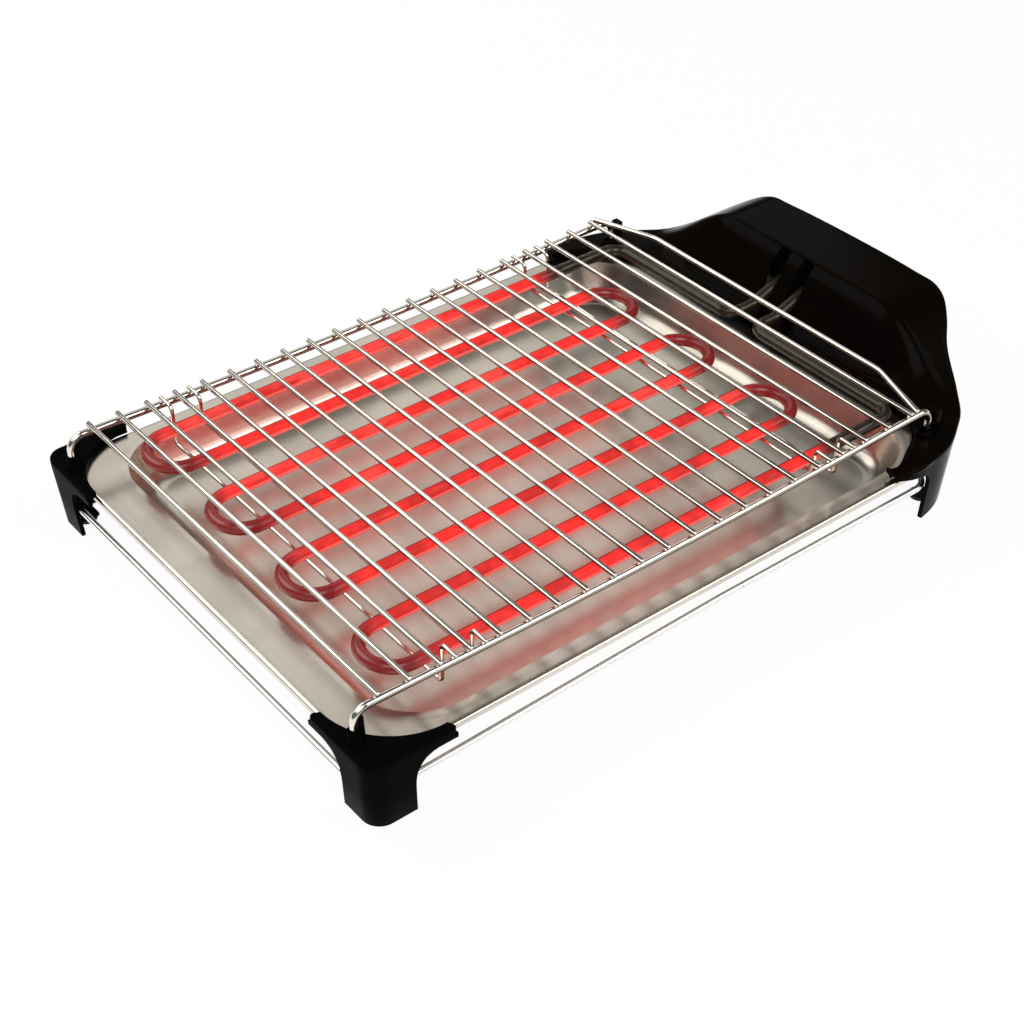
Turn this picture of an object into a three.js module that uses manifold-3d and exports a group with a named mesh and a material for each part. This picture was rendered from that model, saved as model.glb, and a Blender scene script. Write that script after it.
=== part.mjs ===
import * as THREE from "three";
import { mergeVertices } from "three/addons/utils/BufferGeometryUtils.js";
import Module from "manifold-3d";

const wasm = await Module();
wasm.setup();

// An open electric table grill. Millimetres, +Z up, standing on z = 0.
// Inside the file x is counted from the first cross wire towards the housing and y from the
// centre line. The last lines move the whole grill so that its middle is the origin.

// Fits
const seatGap = 0.3; // left between pieces that rest on or fit in each other
const cutOverrun = 6; // how far a cut runs past the face it opens

// Chromed wire grate
const wireCount = 21;
const wirePitch = 17;
const wireDiameter = 2.8;
const wireOverhang = 0; // cross wires reach this far past the side rods
const grateLevel = 63.2; // centres of the first and the last cross wire
const grateSag = 3.5; // the grate's middle hangs this much lower
const sagShares = [0, 0.14, 0.32, 0.5, 0.68, 0.86, 1]; // where the rods' curve is read
const sagBendRadius = 20;
const sideSpacing = 260; // the lines at the sides that the tray, feet and housing are drawn from
const rodInset = 1.6; // from those lines in to the side rods
const rodDiameter = 4;
const rodFront = 12.6; // the bent-down rod ends stand this far outside the cross wires
const rodRear = 16.2;
const rodBendRadius = 7.5;
const handleDiameter = 3.2;
const handleFootReach = 3.7; // where its ends lie, behind the last cross wire
const handleReach = 17.5; // its straight middle, behind the last cross wire
const handleShoulder = 38; // from a side rod to the bend at the end of the straight middle
const handleBendRadius = 22;
const hangerDiameter = 2.2;
const hangerInset = 9.9; // from a side rod to the hanger's upright
const hangerBendRadius = 3;
const hangerPlaceShares = [2.5, 3.5, 16.5, 17.5]; // shares of the wire pitch
const hangerSag = 8.3; // the first and the last hanger pass this much lower under the element

// Tubular heating element
const runCount = 8;
const runPitch = 32;
const tubeDiameter = 7;
const tubeLevel = 51.5;
const frontTurnInset = 32; // centres of the front turns, behind the first cross wire
const rearTurnInset = 44; // centres of the rear turns, ahead of the last cross wire
const crossRunReach = 47; // the two runs along the rear, ahead of the pivot axis
const coldBendRadius = 10;
const coldEndSpacing = 18.4;
const coldEndOffset = 4.5; // from the centre line to the middle of the two cold ends
const coldEndBendRadius = 9;
const coldRiseReach = 30; // where the cold ends start to rise, ahead of the pivot axis

// Pivoting terminal block
const pivotReach = 54; // its axis, behind the last cross wire
const pivotLevel = 62.5;
const barrelDiameter = 14.8;
const barrelLength = 36;
const journalDiameter = 6;
const journalLength = 3.6;
const socketGap = 0.4; // around a cold end or a pin in the barrel
const tubeStop = 3; // from the pivot axis to the end of a cold end
const pinDiameter = 2.4;
const pinLength = 16;

// Drip tray
const sheet = 0.8;
const flangeLevel = 37.5; // top of the flange
const flangeFront = 14; // flange edge, ahead of the first cross wire
const flangeRear = 36; // flange edge, behind the last cross wire
const flangeSide = 14; // flange edge, outside the side rods
const flangeFrontRadius = 16;
const flangeRearRadius = 36;
const hemHeight = 3;
const basinFront = 8; // upper edge of the basin, behind the first cross wire
const basinRear = 12; // upper edge of the basin, behind the last cross wire
const basinSide = 3.5; // upper edge of the basin, outside the side rods
const basinRadius = 34;
const basinFloor = 17;
const basinDraft = 7.1; // how far the wall leans in above the floor's fillet
const floorFillet = 12;
const beadWidth = 6;
const beadHeight = 1.2;

// Front corner feet, each measured from its side's line and the first cross wire
const footOut = 19.5; // outer faces
const footIn = 28.5; // ends of the two arms
const footPlate = 3.6;
const footPlateCornerRadius = 10;
const footScoopCentre = 26.5;
const footScoopRadius = 40;
const footWall = 2.4;
const footLean = 2.7; // the legs stand this much further in at the bottom
const legClearance = 0.8; // plastic edges end this far above the table
const armSkirt = 3.1; // depth of the wall under the arms
const armRise = 17.7; // where an arm's lower edge starts to curve down into the leg
const armRiseShares = [
  [0.65, 0.13],
  [0.42, 0.24],
  [0.29, 0.37],
  [0.25, 0.56],
  [0.24, 1],
];
const collarDiameter = 8;
const collarRise = 2.5;
const rodPlay = 0.4; // around a rod end in its collar
const finThickness = 3.2;
const finCrestShares = [
  [0.82, 0],
  [0.82, 0.68],
  [0.76, 0.83],
  [0.68, 0.9],
  [0.64, 0.9],
  [0.62, 0.5],
  [0.58, 0],
];
const soleLevel = 2.5; // underside of the webs that the pads sit under
const soleThickness = 2.4;
const padDiameter = 12;
const padInset = 10; // from a foot's outer faces to the middle of its pad
const screwInset = 6; // tray screws, outside the rod and the first cross wire
const screwDiameter = 2.9;
const screwHole = 3.6;
const screwHeadDiameter = 5.4;
const screwHeadHeight = 1.8;
const screwBite = 2.4; // length held by the plastic
const ribThickness = 2.4;
const ribHeight = 11;
const ribReach = 9; // how far a rib reaches in past the leg's inner face

// Low wire round the legs
const lowWireDiameter = 3.6;
const lowWireLevel = 23;
const lowWireFront = 13.5;
const lowWireSide = 12;
const lowWireRear = 9; // its rear run, behind the last cross wire
const lowWireBendRadius = 12;

// Black housing: outline and levels
const rearRoom = 1.1; // between the terminal strip and the rear wall, at its foot
const housingSide = 16.7; // widest point, outside the side rods
const wingFront = 23; // tips of the wings, ahead of the last cross wire
const wingThickness = 5.8;
const wingLevel = 44;
const domeLevel = 79.5;
const domeFront = 28; // front rim, ahead of the pivot axis
const domeFrontSlope = 26; // length of the slope at the front
const domeSideTop = 58.4; // half width of the flat top
const domeSideSlope = 68.3;
const housingWall = 2.4;
const housingLean = 4; // the walls stand this much further in at the bottom
const outlineShares = [
  // lengthwise from the wing tips to the rear, crosswise from the centre line
  [0, 0.965],
  [0.012, 0.99],
  [0.035, 1],
  [0.245, 0.998],
  [0.385, 0.97],
  [0.515, 0.912],
  [0.611, 0.86],
  [0.707, 0.769],
  [0.812, 0.633],
  [0.9, 0.563],
  [0.96, 0.5],
  [0.988, 0.329],
  [0.998, 0.15],
];
const wingTipPoints = 3; // of these, the ones that round each wing's tip
const wingInnerShares = [
  // the same measures, along the wings' inner edges
  [0.012, 0.951],
  [0.035, 0.949],
  [0.175, 0.898],
  [0.271, 0.856],
  [0.323, 0.815],
  [0.428, 0.75],
];
const legFront = 4.3; // front edge of a rear leg, behind the last cross wire
const legFrontShares = [
  // ahead of the leg's edge as shares of the wing's reach, then level as shares of the wing's level
  [-0.04, 0],
  [0, 0.3],
  [0.02, 0.6],
  [0.1, 0.71],
  [0.24, 0.79],
  [0.4, 0.835],
  [0.8, 0.87],
];
const legRear = 38; // rear edge of a rear leg, behind the last cross wire
const rimLevel = 8; // lower edge of the housing behind the legs
const rimBlend = 3;
const trayGap = 0.8; // between the tray's edge and the housing
const slotFront = 21.5; // slots for the cold ends, ahead of the pivot axis
const slotRear = 5.6;
const slotWidth = 8.4;
const slotFloor = 49.8;
const postLength = 10.5; // collar of a rear rod end
const postWidth = 8;
const postRise = 2.5;
const postSlotLength = 7.3;
const postSlotWidth = 4.8;
const postInset = 1.3; // slot centre ahead of the rod end
const stopLength = 4.2;
const stopWidth = 6;
const stopRise = 13.5;
const stopReach = 18.9; // front face of the stop, behind the last cross wire
const rearSoleLength = 23;
const rearSoleWidth = 26;
const rearPadReach = 20; // rear pads, behind the last cross wire
const rearPadInset = 2; // rear pads, inside the side rods
const saddleLength = 5;
const saddleDepth = 12;

// Housing base and what stands on it
const baseThickness = 2.5;
const baseFront = 16; // front edge, ahead of the pivot axis
const baseWall = 2;
const baseWallHalf = 104;
const bossDiameter = 8;
const bossReach = 8; // screw bosses, behind the pivot axis
const bossSide = 78;
const innerBossReach = 20;
const innerBossSide = 44;
const pilotDepth = 12;
const bracketThickness = 2.5;
const bracketLength = 14;
const bracketFoot = 8;
const bracketGap = 0.5; // between the barrel and a bracket
const journalPlay = 0.08;
const stripLength = 30;
const stripDepth = 16;
const stripHeight = 12;
const stripLead = 3; // where the leads enter it, behind its middle
const stripGroove = 3;
const cutoutDiameter = 16;
const cutoutHeight = 9;
const cutoutFlange = 24;
const cutoutSide = 52;
const cutoutReach = 6; // behind the pivot axis
const leadDiameter = 3;
const leadBendRadius = 4;
const leadStraight = 4.3; // from a pin to its lead's bend
const glandSide = -19.5;
const glandLevel = 24;
const glandBore = 7;
const glandBody = 12;
const glandFlange = 16;
const glandLip = 1.3;

// Sizes that follow from those above
const lastWire = (wireCount - 1) * wirePitch;
const sideLine = sideSpacing / 2;
const rodSide = sideLine - rodInset;
const rodLevel = grateLevel - wireDiameter / 2 - rodDiameter / 2 - seatGap;
const rodTop = rodLevel + rodDiameter / 2;
const pivotX = lastWire + pivotReach;
const flangeX0 = -flangeFront;
const flangeX1 = lastWire + flangeRear;
const flangeY = sideLine + flangeSide;
const basinX0 = basinFront;
const basinX1 = lastWire + basinRear;
const basinY = sideLine + basinSide;
const footPlateFloor = flangeLevel + seatGap;
const footPlateTop = footPlateFloor + footPlate;
const housingX0 = lastWire - wingFront;
const leadX = pivotX + socketGap + pinLength + seatGap + leadStraight + leadBendRadius;
const stripX = leadX - stripLead;
const housingX1 = stripX + stripDepth / 2 + rearRoom + housingLean + housingWall;
const housingY = sideLine + housingSide;
const wingFloor = wingLevel - wingThickness;
const domeX = pivotX - domeFront;
const baseFloor = rimLevel + legClearance;
const baseTop = baseFloor + baseThickness;
const coldEndSides = [coldEndOffset + coldEndSpacing / 2, coldEndOffset - coldEndSpacing / 2];

// Shapes and solids

function moved(geometry, x, y, z) {
  return geometry.translate(x, y, z);
}

function solidOf(geometry) {
  const plain = geometry.clone();
  plain.deleteAttribute("normal");
  plain.deleteAttribute("uv");
  const merged = mergeVertices(plain);
  return new wasm.Manifold(
    new wasm.Mesh({
      numProp: 3,
      vertProperties: merged.attributes.position.array,
      triVerts: new Uint32Array(merged.index.array),
    }),
  );
}

function geometryOf(solid) {
  const mesh = solid.getMesh();
  const geometry = new THREE.BufferGeometry();
  geometry.setAttribute("position", new THREE.BufferAttribute(mesh.vertProperties, 3));
  geometry.setIndex(new THREE.BufferAttribute(mesh.triVerts, 1));
  return geometry;
}

function joined(...geometries) {
  return geometries.map(solidOf).reduce((all, next) => all.add(next));
}

function without(solid, ...geometries) {
  return geometries.map(solidOf).reduce((rest, next) => rest.subtract(next), solid);
}

function vectors(points) {
  return points.map(([x, y]) => new THREE.Vector2(x, y));
}

// A flat outline in x and y, raised from one level to another.
function raised(points, floor, top) {
  const shape = new THREE.Shape(vectors(points));
  const geometry = new THREE.ExtrudeGeometry(shape, { depth: top - floor, bevelEnabled: false });
  return moved(geometry, 0, 0, floor);
}

// An outline in x and z, drawn out along y.
function drawnAcross(points, y0, y1) {
  const shape = new THREE.Shape(vectors(points));
  const geometry = new THREE.ExtrudeGeometry(shape, { depth: y1 - y0, bevelEnabled: false });
  return moved(geometry.rotateX(Math.PI / 2), 0, y1, 0);
}

// An outline in y and z, drawn out along x.
function drawnAlong(points, x0, x1) {
  const shape = new THREE.Shape(vectors(points));
  const geometry = new THREE.ExtrudeGeometry(shape, { depth: x1 - x0, bevelEnabled: false });
  const turn = new THREE.Matrix4().makeBasis(
    new THREE.Vector3(0, 1, 0),
    new THREE.Vector3(0, 0, 1),
    new THREE.Vector3(1, 0, 0),
  );
  return moved(geometry.applyMatrix4(turn), x0, 0, 0);
}

function block(x0, x1, y0, y1, z0, z1) {
  const geometry = new THREE.BoxGeometry(x1 - x0, y1 - y0, z1 - z0);
  return moved(geometry, (x0 + x1) / 2, (y0 + y1) / 2, (z0 + z1) / 2);
}

function upright(x, y, z0, z1, diameter, sides = 16) {
  const geometry = new THREE.CylinderGeometry(diameter / 2, diameter / 2, z1 - z0, sides);
  return moved(geometry.rotateX(Math.PI / 2), x, y, (z0 + z1) / 2);
}

function crosswise(x, z, y0, y1, diameter, sides = 16) {
  const geometry = new THREE.CylinderGeometry(diameter / 2, diameter / 2, y1 - y0, sides);
  return moved(geometry, x, (y0 + y1) / 2, z);
}

// A slot's outline, with round ends, along x.
function obround(x, y, length, width, steps = 6) {
  const reach = (length - width) / 2;
  const points = [];
  for (const side of [1, -1]) {
    for (let i = 0; i <= steps; i += 1) {
      const angle = Math.PI * (i / steps - 0.5 + (side < 0 ? 1 : 0));
      points.push([
        x + side * reach + (width / 2) * Math.cos(angle),
        y + (width / 2) * Math.sin(angle),
      ]);
    }
  }
  return points;
}

// A path of straight lines with round bends, read only at the places where it changes.
class BentPath extends THREE.Curve {
  constructor(corners, radius, steps) {
    super();
    const at = corners.map((corner) => new THREE.Vector3(...corner));
    const radii = Array.isArray(radius) ? radius : at.map(() => radius);
    this.points = [at[0]];
    this.tangents = [at[1].clone().sub(at[0]).normalize()];
    for (let i = 1; i < at.length - 1; i += 1) {
      this.addBend(at[i - 1], at[i], at[i + 1], radii[i], steps);
    }
    this.points.push(at[at.length - 1]);
    this.tangents.push(this.tangents[this.tangents.length - 1].clone());
  }

  addBend(before, corner, after, radius, steps) {
    const arriving = corner.clone().sub(before).normalize();
    const leaving = after.clone().sub(corner).normalize();
    const turn = arriving.angleTo(leaving);
    const reach = radius * Math.tan(turn / 2);
    const inward = leaving.clone().sub(arriving).normalize();
    const centre = corner.clone().addScaledVector(inward, radius / Math.cos(turn / 2));
    const axis = arriving.clone().cross(leaving).normalize();
    const spoke = corner.clone().addScaledVector(arriving, -reach).sub(centre);
    const count = Math.max(1, Math.ceil((steps * turn) / Math.PI));
    for (let i = 0; i <= count; i += 1) {
      const angle = (turn * i) / count;
      this.points.push(spoke.clone().applyAxisAngle(axis, angle).add(centre));
      this.tangents.push(arriving.clone().applyAxisAngle(axis, angle));
    }
  }

  getPointAt(share) {
    return this.points[Math.round(share * (this.points.length - 1))].clone();
  }

  getTangentAt(share) {
    return this.tangents[Math.round(share * (this.points.length - 1))].clone();
  }
}

function ring(diameter, sides) {
  const points = [];
  for (let i = 0; i < sides; i += 1) {
    const angle = (2 * Math.PI * i) / sides;
    points.push([(diameter / 2) * Math.cos(angle), (diameter / 2) * Math.sin(angle)]);
  }
  return points;
}

// A round tube or wire along a bent path.
function bentTube(corners, radius, diameter, sides = 10, steps = 12) {
  const path = new BentPath(corners, radius, steps);
  const section = new THREE.Shape(vectors(ring(diameter, sides)));
  return new THREE.ExtrudeGeometry(section, {
    steps: path.points.length - 1,
    extrudePath: path,
    curveSegments: 1,
  });
}

// A skin through closed loops of equal length, each turning left seen from above, capped at
// both ends. The first loop is the uppermost or innermost one.
function skinned(loops) {
  const count = loops[0].length;
  const index = [];
  for (let k = 0; k < loops.length - 1; k += 1) {
    for (let i = 0; i < count; i += 1) {
      const next = (i + 1) % count;
      const [a, b] = [k * count + i, (k + 1) * count + i];
      const [c, d] = [(k + 1) * count + next, k * count + next];
      index.push(a, b, c, a, c, d);
    }
  }
  const cap = (loop) => THREE.ShapeUtils.triangulateShape(vectors(loop), []);
  cap(loops[0]).forEach(([a, b, c]) => index.push(a, b, c));
  const last = (loops.length - 1) * count;
  cap(loops[loops.length - 1]).forEach(([a, b, c]) => index.push(last + a, last + c, last + b));
  const geometry = new THREE.BufferGeometry();
  geometry.setAttribute("position", new THREE.Float32BufferAttribute(loops.flat(2), 3));
  return geometry.setIndex(index);
}

// A rectangle's loop with round corners, its front corners rounder or sharper than its rear ones.
function roundedLoop(x0, x1, halfWidth, frontRadius, rearRadius, level, steps = 7) {
  const corners = [
    [x1 - rearRadius, halfWidth - rearRadius, rearRadius],
    [x0 + frontRadius, halfWidth - frontRadius, frontRadius],
    [x0 + frontRadius, frontRadius - halfWidth, frontRadius],
    [x1 - rearRadius, rearRadius - halfWidth, rearRadius],
  ];
  const loop = [];
  corners.forEach(([x, y, radius], quarter) => {
    for (let i = 0; i <= steps; i += 1) {
      const angle = (Math.PI / 2) * (quarter + i / steps);
      loop.push([x + radius * Math.cos(angle), y + radius * Math.sin(angle), level]);
    }
  });
  return loop;
}

// The grate

// The grate hangs in a shallow curve, lowest halfway between its first and last cross wire.
function sagAt(x) {
  const out = Math.min(1, Math.abs((2 * x) / lastWire - 1));
  return grateSag * (1 - out * out);
}

function crossWire(place) {
  const x = place * wirePitch;
  const reach = rodSide + rodDiameter / 2 + wireOverhang;
  return crosswise(x, grateLevel - sagAt(x), -reach, reach, wireDiameter, 10);
}

function sideRod(side) {
  const y = side * rodSide;
  const frontTip = footPlateFloor + footPlate / 3 + seatGap;
  const rearTip = wingLevel - 2 * seatGap - rodPlay - seatGap;
  const curve = sagShares.map((share) => [share * lastWire, y, rodLevel - sagAt(share * lastWire)]);
  const corners = [
    [-rodFront, y, frontTip],
    [-rodFront, y, rodLevel],
    ...curve.slice(1, -1),
    [lastWire + rodRear, y, rodLevel],
    [lastWire + rodRear, y, rearTip],
  ];
  const outer = [0, 1, corners.length - 2];
  const radii = corners.map((corner, i) => (outer.includes(i) ? rodBendRadius : sagBendRadius));
  return bentTube(corners, radii, rodDiameter, 12, 14);
}

function handleWire() {
  const level = rodTop + handleDiameter / 2 + seatGap;
  const end = rodSide + rodDiameter / 2;
  const shoulder = rodSide - handleShoulder;
  const corners = [
    [lastWire + handleFootReach, -end, level],
    [lastWire + handleReach, -shoulder, level],
    [lastWire + handleReach, shoulder, level],
    [lastWire + handleFootReach, end, level],
  ];
  return bentTube(corners, handleBendRadius, handleDiameter, 10, 36);
}

function hangerWire(share, sag) {
  const x = share * wirePitch;
  const top = rodTop - sagAt(x) + hangerDiameter / 2 + seatGap;
  const bottom = tubeLevel - tubeDiameter / 2 - hangerDiameter / 2 - seatGap - sag;
  const end = rodSide + rodDiameter / 2 + wireOverhang;
  const inner = rodSide - hangerInset;
  const corners = [
    [x, -end, top],
    [x, -inner, top],
    [x, -inner, bottom],
    [x, inner, bottom],
    [x, inner, top],
    [x, end, top],
  ];
  return bentTube(corners, hangerBendRadius, hangerDiameter, 8, 8);
}

// The heating element

function runSide(run) {
  return (run - (runCount - 1) / 2) * runPitch;
}

function elementCorners() {
  const front = frontTurnInset - runPitch / 2;
  const rear = lastWire - rearTurnInset + runPitch / 2;
  const cross = pivotX - crossRunReach;
  const rise = pivotX - coldRiseReach;
  const slope = (pivotLevel - tubeLevel) / coldRiseReach;
  const end = pivotX - tubeStop;
  const endLevel = pivotLevel - tubeStop * slope;
  const corners = [
    [end, coldEndSides[1], endLevel],
    [rise, coldEndSides[1], tubeLevel],
    [cross, coldEndSides[1], tubeLevel],
    [cross, runSide(0), tubeLevel],
  ];
  for (let run = 0; run < runCount; run += 1) {
    const turn = run % 2 === 0 ? front : rear;
    if (run > 0) {
      corners.push([run % 2 === 0 ? rear : front, runSide(run), tubeLevel]);
    }
    if (run < runCount - 1) {
      corners.push([turn, runSide(run), tubeLevel]);
    }
  }
  corners.push(
    [cross, runSide(runCount - 1), tubeLevel],
    [cross, coldEndSides[0], tubeLevel],
    [rise, coldEndSides[0], tubeLevel],
    [end, coldEndSides[0], endLevel],
  );
  return corners;
}

function elementRadii(corners) {
  const turn = runPitch / 2 - seatGap / 10;
  return corners.map((corner, i) => {
    const fromEnd = Math.min(i, corners.length - 1 - i);
    if (fromEnd === 1 || fromEnd === 2) {
      return coldEndBendRadius;
    }
    return fromEnd === 3 ? coldBendRadius : turn;
  });
}

function heatingElement() {
  const corners = elementCorners();
  return bentTube(corners, elementRadii(corners), tubeDiameter, 10, 12);
}

// The pivoting terminal block

function coldEndSocket(y) {
  const slope = (pivotLevel - tubeLevel) / coldRiseReach;
  const start = barrelDiameter;
  const stop = tubeStop - socketGap;
  const corners = [
    [pivotX - start, y, pivotLevel - start * slope],
    [pivotX - stop, y, pivotLevel - stop * slope],
  ];
  return bentTube(corners, 0, tubeDiameter + 2 * socketGap, 16);
}

function pinLine(y, start, stop, diameter, sides) {
  const corners = [
    [pivotX + start, y, pivotLevel],
    [pivotX + stop, y, pivotLevel],
  ];
  return bentTube(corners, 0, diameter, sides);
}

function terminalBlock() {
  const y0 = coldEndOffset - barrelLength / 2;
  const y1 = coldEndOffset + barrelLength / 2;
  const body = joined(
    crosswise(pivotX, pivotLevel, y0, y1, barrelDiameter, 24),
    crosswise(pivotX, pivotLevel, y0 - journalLength, y1 + journalLength, journalDiameter, 24),
  );
  const holes = coldEndSides.flatMap((y) => [
    coldEndSocket(y),
    pinLine(y, -tubeStop, barrelDiameter, pinDiameter + 2 * socketGap, 10),
  ]);
  return geometryOf(without(body, ...holes));
}

function terminalPin(y) {
  return pinLine(y, socketGap, socketGap + pinLength, pinDiameter, 8);
}

// The drip tray

function basinLoop(outward, level) {
  const radius = basinRadius + outward;
  return roundedLoop(basinX0 - outward, basinX1 + outward, basinY + outward, radius, radius, level);
}

function flangeLoop(inward, level) {
  return roundedLoop(
    flangeX0 + inward,
    flangeX1 - inward,
    flangeY - inward,
    flangeFrontRadius - inward,
    flangeRearRadius - inward,
    level,
  );
}

// Loops of the basin's fillet between the leaning wall and the floor, for one face of the sheet.
function filletLoops(radius, shift) {
  const lean = Math.atan2(basinDraft, flangeLevel - basinFloor - floorFillet / 2);
  const centreInset = basinDraft + floorFillet * Math.cos(lean);
  const centreLevel = basinFloor + floorFillet;
  return [0, 0.35, 0.7, 1].map((share) => {
    const angle = (Math.PI / 2 - lean) * share;
    const inset = centreInset - radius * Math.sin(angle);
    return basinLoop(-inset + shift, centreLevel - radius * Math.cos(angle));
  });
}

function trayLoops() {
  const bead = beadWidth;
  const slope = beadHeight;
  const lowest = flangeLevel - hemHeight;
  return [
    ...filletLoops(floorFillet, 0),
    basinLoop(0, flangeLevel),
    basinLoop(slope, flangeLevel + beadHeight),
    basinLoop(bead - slope, flangeLevel + beadHeight),
    basinLoop(bead, flangeLevel),
    flangeLoop(sheet, flangeLevel),
    flangeLoop(0, flangeLevel - sheet),
    flangeLoop(0, lowest),
    flangeLoop(sheet, lowest),
    flangeLoop(sheet, flangeLevel - sheet),
    basinLoop(bead, flangeLevel - sheet),
    basinLoop(bead - slope, flangeLevel + beadHeight - sheet),
    basinLoop(slope, flangeLevel + beadHeight - sheet),
    basinLoop(sheet, flangeLevel - sheet),
    ...filletLoops(floorFillet + sheet, 0).reverse(),
  ];
}

function dripTray() {
  const holes = [1, -1].map((side) =>
    upright(-screwInset, side * (sideLine + screwInset), wingFloor - cutOverrun, wingLevel, screwHole),
  );
  return geometryOf(without(solidOf(skinned(trayLoops())), ...holes));
}

// The front feet, drawn for the near side and mirrored for the far one

function arcPoints(x, y, radius, from, to, steps) {
  const points = [];
  for (let i = 0; i <= steps; i += 1) {
    const angle = from + ((to - from) * i) / steps;
    points.push([x + radius * Math.cos(angle), y + radius * Math.sin(angle)]);
  }
  return points;
}

function footPlateOutline() {
  const radius = footPlateCornerRadius;
  const corner = radius - footOut;
  const reach = Math.acos((footIn - footScoopCentre) / footScoopRadius);
  const tip = footOut - footScoopRadius + footScoopCentre;
  return [
    [footIn - tip / 2, -footOut],
    [footIn, -footOut + tip / 2],
    ...arcPoints(footScoopCentre, footScoopCentre, footScoopRadius, -reach, reach - (3 * Math.PI) / 2, 14),
    [-footOut + tip / 2, footIn],
    [-footOut, footIn - tip / 2],
    ...arcPoints(corner, corner, radius, Math.PI, 1.5 * Math.PI, 6),
  ];
}

function footWallOutline() {
  const radius = footPlateCornerRadius;
  const corner = radius - footOut;
  const inner = footWall - footOut;
  return [
    [footIn - footWall, -footOut],
    [footIn - footWall, inner],
    ...arcPoints(corner, corner, radius - footWall, 1.5 * Math.PI, Math.PI, 6),
    [inner, footIn - footWall],
    [-footOut, footIn - footWall],
    ...arcPoints(corner, corner, radius, Math.PI, 1.5 * Math.PI, 6),
  ];
}

// What is cut away under one arm: along the arm, then height.
function armCutOutline() {
  const top = footPlateFloor - armSkirt;
  const height = top - legClearance;
  const curve = armRiseShares.map(([along, down]) => [along * armRise, top - down * height]);
  return [
    [footIn + cutOverrun, top],
    [armRise, top],
    ...curve,
    [curve[curve.length - 1][0], -cutOverrun],
    [footIn + cutOverrun, -cutOverrun],
  ];
}

function footWalls() {
  const walls = solidOf(raised(footWallOutline(), legClearance, footPlateFloor + seatGap));
  const cut = armCutOutline();
  const outer = -footOut - cutOverrun;
  const legEdge = armRise * armRiseShares[0][0] - rodFront;
  return without(
    walls,
    drawnAcross(cut, outer, legEdge),
    drawnAlong(cut, outer, legEdge),
  );
}

function footRib(alongX) {
  const near = footWall / 2 - footOut;
  const far = footWall - footOut + ribReach;
  const [z0, z1] = [lowWireLevel - ribHeight / 2, lowWireLevel + ribHeight / 2];
  const place = armRise * armRiseShares[armRiseShares.length - 1][0] - 2 * ribThickness / 2;
  if (alongX) {
    return block(place - ribThickness, place, near, far, z0, z1);
  }
  return block(near, far, place - ribThickness, place, z0, z1);
}

function footSole() {
  const near = footWall / 2 - footOut;
  const far = near + padDiameter + footWall;
  const corner = footPlateCornerRadius / 2;
  const points = [
    [near + corner, near],
    [far, near],
    [far, far],
    [near, far],
    [near, near + corner],
  ];
  return raised(points, soleLevel, soleLevel + soleThickness);
}

// The legs lean in towards the bottom, below the plate.
function leaned(solid) {
  const top = footPlateFloor + seatGap;
  const share = footLean / (top - legClearance);
  const shear = new THREE.Matrix4().set(
    1, 0, -share, share * top,
    0, 1, -share, share * top,
    0, 0, 1, 0,
    0, 0, 0, 1,
  );
  return geometryOf(solid).applyMatrix4(shear);
}

function footFin() {
  const length = rodFront;
  const height = rodLevel - rodDiameter / 2 - seatGap - footPlateTop;
  const points = finCrestShares.map(([along, up]) => [
    -along * length,
    footPlateTop - seatGap + up * height,
  ]);
  return drawnAcross(points, rodInset - finThickness / 2, rodInset + finThickness / 2);
}

function nearFoot() {
  const leg = footWalls().add(joined(footRib(true), footRib(false), footSole()));
  const body = joined(
    leaned(leg),
    raised(footPlateOutline(), footPlateFloor, footPlateTop),
    upright(-rodFront, rodInset, footPlateTop - seatGap, footPlateTop + collarRise, collarDiameter, 20),
    footFin(),
  );
  return without(
    body,
    upright(-rodFront, rodInset, footPlateFloor + footPlate / 3, rodLevel, rodDiameter + 2 * rodPlay, 16),
    upright(-screwInset, -screwInset, legClearance, footPlateFloor + screwBite + seatGap, screwHole),
  );
}

function lowWire(gap) {
  const x0 = -lowWireFront;
  const x1 = lastWire + lowWireRear;
  const y = sideLine + lowWireSide;
  const middle = lastWire / 2;
  const corners = [
    [middle, -y, lowWireLevel],
    [x1, -y, lowWireLevel],
    [x1, y, lowWireLevel],
    [x0, y, lowWireLevel],
    [x0, -y, lowWireLevel],
    [middle - seatGap, -y, lowWireLevel],
  ];
  return bentTube(corners, lowWireBendRadius, lowWireDiameter + 2 * gap, 10, 14);
}

function placedFoot(side) {
  const near = moved(geometryOf(nearFoot()), 0, -sideLine, 0);
  const foot = geometryOf(without(solidOf(near), lowWire(seatGap)));
  return side < 0 ? foot : mirrored(foot);
}

function mirrored(geometry) {
  const copy = geometry.clone().scale(1, -1, 1);
  const order = copy.index.array;
  for (let i = 0; i < order.length; i += 3) {
    [order[i + 1], order[i + 2]] = [order[i + 2], order[i + 1]];
  }
  return copy;
}

// The housing

function housingPoint([along, across], inset = 0) {
  return [
    housingX0 + along * (housingX1 - housingX0) - inset,
    -across * housingY + inset,
  ];
}

// The housing's outline, drawn in by a distance square to its edge.
function housingLoop(inward, level) {
  const near = outlineShares.map((share) => housingPoint(share));
  const far = near.map(([x, y]) => [x, -y]).reverse();
  const all = [...near, [housingX1, 0], ...far];
  return all.map(([x, y], i) => {
    const [x0, y0] = all[(i + all.length - 1) % all.length];
    const [x1, y1] = all[(i + 1) % all.length];
    const length = Math.hypot(x1 - x0, y1 - y0);
    const wing = Math.min(i, all.length - 1 - i) < wingTipPoints;
    const [nx, ny] = wing ? [0, Math.sign(-y)] : [-(y1 - y0) / length, (x1 - x0) / length];
    return [x + nx * inward, y + ny * inward, level];
  });
}

function smooth(share) {
  const t = Math.min(1, Math.max(0, share));
  return t * t * (3 - 2 * t);
}

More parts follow.
